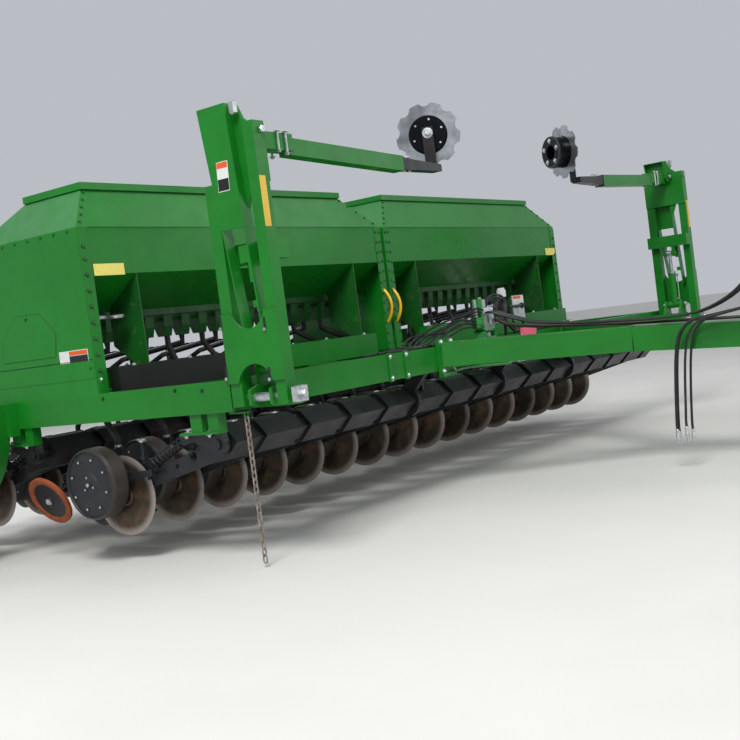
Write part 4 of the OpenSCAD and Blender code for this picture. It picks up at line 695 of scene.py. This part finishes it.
for low, high in ((-2.95, -0.02), (0.02, 2.95)):
    for foot, top in ((low + 0.022, low + 0.162), (high - 0.022, high - 0.442)):
        # along the hip the front slope rises 0.24 and runs back 0.08, so its bolts lean 71.6 degrees forwards
        hips += [place((foot + t * (top - foot), 0.7 + 0.08 * t, 1.91 + 0.24 * t), (71.6, 0, 0))
            for t in np.linspace(0.12, 0.86, 5)]
greens.append(stamp(bolt(0.013, False), hips))
makePiece("boxSeams", joined(*seams, *blacks), castingEnamel, "frame")
makePiece("boxPressings", joined(*sheets), sheetEnamel, "frame", 30)
makePiece("paintedBolts", joined(*greens), bracketEnamel, "frame", 30)
makePiece("blankLabels", joined(*whites), labelWhite, "frame")
makePiece("labelBands", joined(*bands), labelOrange, "frame")
makePiece("boxReflectors", joined(*[block(xs, (0.6986, 0.7005), zs, 0.0008)
    for xs, zs in (((-2.864, -2.640), (1.632, 1.699)), ((2.731, 2.930), (1.637, 1.704)))]),
    paleReflector, "frame")
gauge = revolve([(0, 0), (0.05, 0), (0.052, 0.004), (0.052, 0.016), (0.048, 0.020), (0, 0.020)], 24)
makePiece("silverGauges", stamp(gauge, [place((x, 0.80, 1.388)) for x in (-2.80, -2.665)]),
    zincPlate, "frame")
# slow-vehicle triangle and red reflectors on the boxes' rear faces
triangle = np.array([(-0.17, -0.098), (0.17, -0.098), (0, 0.196)]) * 0.8 + (-0.40, 1.765)
makePiece("rearTriangle", plate(triangle * 0.72 + triangle.mean(0) * 0.28, 1.7006, 1.7032, "Y", 0.0006),
    labelOrange, "frame")
makePiece("rearReflectors", joined(plate(triangle, 1.6996, 1.7024, "Y", 0.0008),
    *[block(sorted((s * 2.72, s * 2.90)), (1.6994, 1.7018), (1.66, 1.70), 0.0006) for s in (-1, 1)]),
    reflectorRed, "frame")
print("boxes dressed")


# Hydraulics on the front beam: manifold, coils, gauge, label plate, lever, clipped hoses

valveSet = {"hoseX": (-0.250, -0.284, -0.216, -0.318), "face": -0.300, "hoseZ": 1.150, "gauge": (0.045, -0.25)}
fitting = revolve([(0.0105, 0), (0.0105, 0.006), (0.0085, 0.008), (0.0085, 0.0103), (0, 0.0103)], 6)
coil = revolve([(0, 0), (0.018, 0), (0.020, 0.003), (0.020, 0.045), (0.017, 0.050), (0.006, 0.050), (0.006, 0.060),
    (0, 0.060)], 14)
fitted = [place((x, valveSet["face"] + 0.0003, valveSet["hoseZ"]), (90, 0, 0)) for x in valveSet["hoseX"]]
# the block and its top, all its fittings, and the blank label's plate
manifold = makePiece("valveManifold", joined(
    block((-0.335, -0.195), (valveSet["face"], -0.232), (1.035, 1.185), 0.005),
    block((-0.325, -0.275), (-0.290, -0.240), (1.185, 1.245), 0.005),
    stamp(fitting, fitted),
    boltsAt(0.016, "+Z", [(-0.215, -0.25, 1.185), (-0.235, -0.285, 1.185), (-0.30, -0.265, 1.245)]),
    *[rodAlong(*rod) for rod in (
        ("Z", 1.157, 1.249, (-0.371, -0.262), 0.011, 12), ("Z", 1.121, 1.16, (-0.371, -0.262), 0.015, 6),
        ("Z", 1.245, 1.262, (-0.302, -0.262), 0.012, 12), ("Z", 1.064, 1.135, (-0.268, -0.312), 0.011, 12),
        ("X", -0.195, -0.10, (-0.270, 1.190), 0.010, 12), ("X", -0.15, -0.125, (-0.270, 1.190), 0.015, 6),
        ("X", -0.195, -0.08, (-0.300, 1.070), 0.006, 12), ("Z", 1.058, 1.082, (-0.08, -0.300), 0.008, 6))],
    block((-0.333, -0.286), (-0.312, -0.262), (0.982, 1.012), 0.002),
    block((0.172, 0.346), (-0.262, -0.256), (1.066, 1.250), 0.001)),
    zincPlate, "frame", 30)
bracket = makePiece("valveBracket", joined(
    block((-0.345, -0.185), (-0.300, -0.210), (0.970, 0.982)),
    block((-0.345, -0.335), (-0.300, -0.225), (0.980, 1.250)),
    block((-0.195, -0.185), (-0.300, -0.225), (0.980, 1.080)),
    block((-0.387, -0.345), (-0.290, -0.230), (1.046, 1.121), 0.006),
    block((-0.392, -0.340), (-0.275, -0.245), (1.121, 1.130), 0.002),
    rodAlong("Y", -0.300, -0.290, (-0.366, 1.084), 0.022, 16),
    block((-0.345, -0.185), (-0.300, -0.210), (1.020, 1.035))), valveEnamel, "frame")
for piece in (manifold, bracket):
    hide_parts("valve_block")
# coils, the gauge's stem and body, its pipes, and a lever with its knob
knob = revolve([(0, -0.022), (0.012, -0.018), (0.021, -0.006), (0.021, 0.006), (0.012, 0.018), (0, 0.022)], 16)
makePiece("valveCoils", joined(
    stamp(coil, [place((x, -0.262, 1.185)) for x in (-0.225, -0.250)]),
    stamp(coil, [place((-0.30, -0.262, z), (0, 90, 0)) for z in (1.10, 1.15)]),
    rodAlong("Z", 0.970, 1.250, valveSet["gauge"], 0.012, 12),
    block((0.020, 0.070), (-0.272, -0.228), (1.150, 1.225), 0.004),
    rodAlong("X", -0.195, 0.022, (-0.26, 1.165), 0.009, 10), rodAlong("X", 0.07, 0.262, (-0.285, 1.172), 0.010, 12),
    stamp(knob, [place((0.268, -0.285, 1.172))])), castingEnamel, "frame")
# the gauge's white cap, and the blank label with its legs and band
makePiece("valveCaps", joined(
    rodAlong("Z", 1.248, 1.300, valveSet["gauge"], 0.033, 24),
    rodAlong("Z", 1.300, 1.314, valveSet["gauge"], 0.026, 24),
    block((0.176, 0.342), (-0.2645, -0.262), (1.174, 1.246), 0.0006)), labelWhite, "frame")
makePiece("whiteBoxLegs", joined(*[block((x, x + 0.012), (-0.256, -0.235), (0.970, 1.240), 0.002)
    for x in (0.180, 0.326)]), bracketEnamel, "frame")
makePiece("whiteBoxBand", block((0.180, 0.300), (-0.2655, -0.2640), (1.226, 1.244), 0.0004),
    labelOrange, "frame")


def hoseTube(points, radius):
    # a hose along a smooth path through the points
    return tube(smoothPath(points, 5), radius, 8)


clipped = []
for k in range(7):
    # hoses from the manifold's left end along the front beam's top, each a little off the last
    lift, end = 1.06 + 0.03 * (k % 3), -1.35 + 0.17 * k
    clipped.append(hoseTube([(-0.335, -0.255 - 0.008 * k, 1.05 + 0.02 * k), (-0.40, -0.26, 1.06 + 0.02 * k),
        (-0.52 - 0.03 * k, -0.23 + 0.01 * k, lift), (-0.70 - 0.04 * k, -0.20 + 0.02 * k, 1.01 + 0.006 * k),
        (-0.95 - 0.03 * k, -0.235 + 0.01 * k, 0.981), (end - 0.10, -0.22 + 0.005 * k, 0.981 + 0.012 * (k % 2)),
        (end - 0.35, -0.225, 0.980)], 0.0075))
for k in range(5):
    # hoses from the manifold's right end down to the beam's top
    low = 1.02 + 0.015 * k
    clipped.append(hoseTube([(-0.195, -0.245 - 0.01 * k, 1.07 + 0.022 * k), (-0.14, -0.25 - 0.01 * k, 1.08 + 0.03 * k),
        (-0.06, -0.262 - 0.006 * k, low + 0.14), (0.0, -0.285, low + 0.05), (0.08, -0.282 + 0.01 * k, low),
        (0.18, -0.25 + 0.008 * k, 0.99 + 0.01 * k), (0.40 + 0.06 * k, -0.24 + 0.006 * k, 0.981),
        (0.75 + 0.1 * k, -0.24, 0.981)], 0.0072))
for k in range(3):
    # hoses looping over the manifold to the gauge's foot and back
    clipped.append(hoseTube([(-0.225 - 0.02 * k, -0.262, 1.20), (-0.235, -0.268 - 0.006 * k, 1.225),
        (-0.20, -0.272, 1.252 - 0.012 * k), (-0.13, -0.275 - 0.006 * k, 1.270 - 0.018 * k),
        (-0.035 - 0.01 * k, -0.275, 1.264 - 0.016 * k), (0.022 - 0.012 * k, -0.28, 1.235),
        (0.03 - 0.014 * k, -0.285, 1.185), (-0.01 - 0.012 * k, -0.292, 1.125),
        (-0.09, -0.288 - 0.004 * k, 1.100 - 0.012 * k), (-0.193, -0.270, 1.095 - 0.015 * k)], 0.0072))
makePiece("clippedHoses", joined(*clipped), hoseRubber, "frame")
# three hoses along the tongue's top, the middle one in a sleeve
lines = [hoseTube([(x - 0.05, -0.31, 1.10), (x - 0.03, -0.40, 1.05), (x, -0.60, 1.012), (x + 0.02, -0.90, 0.985),
    (x + 0.04, -1.30, 0.957), (x + 0.05, -1.60, 0.942), (x + 0.07, -1.90, 0.925), (x + 0.085, -2.20, 0.912)], 0.009)
    for x in -0.165 + 0.03 * np.arange(3)]
makePiece("tongueHoses", joined(lines[0], lines[2]), hoseRubber, "frame")
makePiece("sleevedHose", lines[1], hoseSleeve, "frame")
makePiece("pinkRibbon", plate([(0.125, 1.010), (0.285, 1.006), (0.375, 0.988), (0.355, 0.944), (0.24, 0.936),
    (0.12, 0.958)], -0.328, -0.3265, "Y", 0.0003), tagPink, "frame")
print("hydraulics placed")


# Wheels: tyres with cut tread, and nuts

treadSet = {
    "radius": 0.380, "half": 0.140, "bars": 22, "depth": 0.016, "around": 220, "across": 33,
    # the side walls below the shoulders, as (part of the half width, radius), closing on the rim
    "walls": [(1.0, 0.270), (0.985, 0.250), (0.945, 0.240), (0.90, 0.226), (0.715, 0.204)],
    "middle": (3.25, 2.05, 0.38), "nutCircle": 0.055,
}


def tyreShape(half):
    # radius(turn, v) is the carcass profile less the tread depth between slanted bars, v across from -1 to 1
    v = np.linspace(-1, 1, treadSet["across"])
    turn = np.linspace(0, 2 * math.pi, treadSet["around"], endpoint=False)
    crown = np.interp(np.abs(v), (0, 0.57, 0.885, 1.0), (treadSet["radius"], treadSet["radius"], 0.355, 0.292))
    phase = turn[:, None] * treadSet["bars"] / (2 * math.pi) + np.abs(v)[None] * 0.95 + np.where(v > 0, 0.5, 0)[None]
    wave = np.abs((phase % 1.0) - 0.5) * 2
    bar = np.clip((wave - 0.50) / 0.10, 0, 1)
    bar = bar * np.clip((np.abs(v)[None] - 0.05) / 0.05, 0, 1) * np.clip((0.93 - np.abs(v)[None]) / 0.04, 0, 1)
    cut = treadSet["depth"] * (1 - bar) * np.clip((0.90 - np.abs(v)) / 0.06, 0, 1)[None]
    wallV, wallR = np.array(treadSet["walls"]).T
    wallR = np.broadcast_to(wallR, (len(turn), len(wallV)))
    radius = np.concatenate([wallR[:, ::-1], crown[None] - cut, wallR], 1)
    wide = np.broadcast_to(np.concatenate([-wallV[::-1], v, wallV]) * half, radius.shape)
    grid = np.stack([wide, radius * np.cos(turn)[:, None], radius * np.sin(turn)[:, None]], 2)
    return grid.reshape(-1, 3), gridFaces(*radius.shape, closeRows=True)


tyre = tyreShape(treadSet["half"])
wheelX, wheelY, wheelZ = treadSet["middle"]
for side, s in (("right", -1), ("left", 1)):
    body = "wheel_" + side
    piece = makePiece("treadedTyre_" + side, stamp(tyre, [place((s * wheelX, wheelY, wheelZ))]),
        tyreRubber, body, 40)
    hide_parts("tyre_" + side)
    nuts = boltCircle((s * (wheelX + 0.029), wheelY, wheelZ), treadSet["nutCircle"], 6, 30)
    makePiece("wheelNuts_" + side, boltsAt(0.024, outwards[s], nuts), zincPlate, body, 30)
print("wheels dressed")


# Jack crank, walkboard cleats, tongue seams, frame bolts

trimSet = {"cleatPitch": 0.06, "boardTop": 1.210, "seamY": (-1.3235, -1.3165), "shaftYs": (-0.13, 1.4)}
crank = hoseTube([(0.21, -2.45, 1.178), (0.21, -2.45, 1.205), (0.225, -2.45, 1.215), (0.33, -2.45, 1.216),
    (0.342, -2.45, 1.226), (0.343, -2.45, 1.30)], 0.008)
makePiece("jackCrank", joined(crank, rodAlong("Z", 1.236, 1.300, (0.343, -2.45), 0.014, 14),
    boltsAt(0.022, "-Y", [(0.15, -2.50, 0.80), (0.15, -2.50, 0.76)])), zincPlate, "frame")
cleats = [(x, y, trimSet["boardTop"]) for x in np.arange(-2.86, 2.87, trimSet["cleatPitch"])
    for y in np.arange(1.88, 2.12, trimSet["cleatPitch"])]
makePiece("walkboardCleats", stamp(revolve([(0.016, 0), (0.013, 0.004), (0.010, 0.004), (0.008, 0.001), (0, 0.001)], 8),
    [place(p) for p in cleats]), castingEnamel, "frame")
makePiece("tongueSeams", joined(*[block(sorted((s * inner, s * 0.2325)), trimSet["seamY"], zs, 0.0012)
    for inner, zs in ((0.2275, (0.778, 0.936)), (0.150, (0.932, 0.9375))) for s in (-1, 1)]),
    castingEnamel, "frame")
# on the tongue's flange, the front beam, the pedestals from above and below, the box feet
frameBolts = [
    boltsAt(0.020, "-Y", bothSides([(x, -0.3242, z) for x in (0.965, 0.845) for z in (0.996, 0.805)])),
    boltsAt(0.016, "-Y", bothSides([(x, -0.3082, z) for x in (1.355, 1.53) for z in (0.955, 0.825)])),
    boltsAt(0.022, "+Z", bothSides([(2.905, y0 - 0.022, 0.7162) for y0 in trimSet["shaftYs"]])),
    boltsAt(0.022, "+Z", [(-2.9, y0 + y, 0.7162) for y0 in trimSet["shaftYs"] for y in (0.052, 0.18, 0.215)]),
    boltsAt(0.022, "-Z", [(-2.932, y0 + y, 0.7018) for y0 in trimSet["shaftYs"] for y in (0.03, 0.20)]),
    boltsAt(0.012, "-Y", bothSides([(2.917, 0.6996, 1.05)])),
    boltsAt(0.018, "+Z", [(x, y, 1.1052) for x in np.linspace(-2.7, 2.7, 13) for y in (0.66, 1.74) if abs(x) > 0.4]),
]
makePiece("frameBolts", joined(*frameBolts), zincPlate, "frame", 30)
print("frame dressed")


# Stage and light

stageSet = {"floor": "#dcdad4", "reach": 150, "sky": "#e6ebf2", "skyStrength": 0.62}
reach = stageSet["reach"]
paleFloor = layered("paleStudioFloor", stageSet["floor"], [("#d2d0c9", 0.4, "patch", 2500, 0.4, 0.6)],
    {"rough": (0.85, 0.95), "ior": 1.45, "grain": (9, 0.02)})
floorMesh = bpy.data.meshes.new("floor")
floorMesh.from_pydata([(-reach, -reach, 0), (reach, -reach, 0), (reach, reach, 0), (-reach, reach, 0)], [],
    [(0, 1, 2, 3)])
floorMesh.materials.append(paleFloor)
floor = bpy.data.objects.new("floor", floorMesh)
bpy.context.collection.objects.link(floor)

world = bpy.data.worlds.new("studio")
bpy.context.scene.world = world
world.use_nodes = True
background = world.node_tree.nodes["Background"].inputs
background["Color"].default_value = linear(stageSet["sky"])
background["Strength"].default_value = stageSet["skyStrength"]

# each lamp's place, power in watts and width; all point 1 m above the origin
lampSet = {"key": ((-9, -4, 10), 1200, 4), "fill": ((7, -7, 6), 160, 7), "back": ((2, 10, 8), 380, 6)}
for name, (at, power, size) in lampSet.items():
    lamp = bpy.data.lights.new(name, "AREA")
    lamp.energy, lamp.size = power, size
    lampObject = bpy.data.objects.new(name, lamp)
    direction = Vector(at) - Vector((0, 0, 1))
    lampObject.matrix_world = Matrix.Translation(at) @ direction.to_track_quat("Z", "Y").to_matrix().to_4x4()
    bpy.context.collection.objects.link(lampObject)
bpy.context.scene.view_settings.view_transform = "Standard"
print("stage lit")
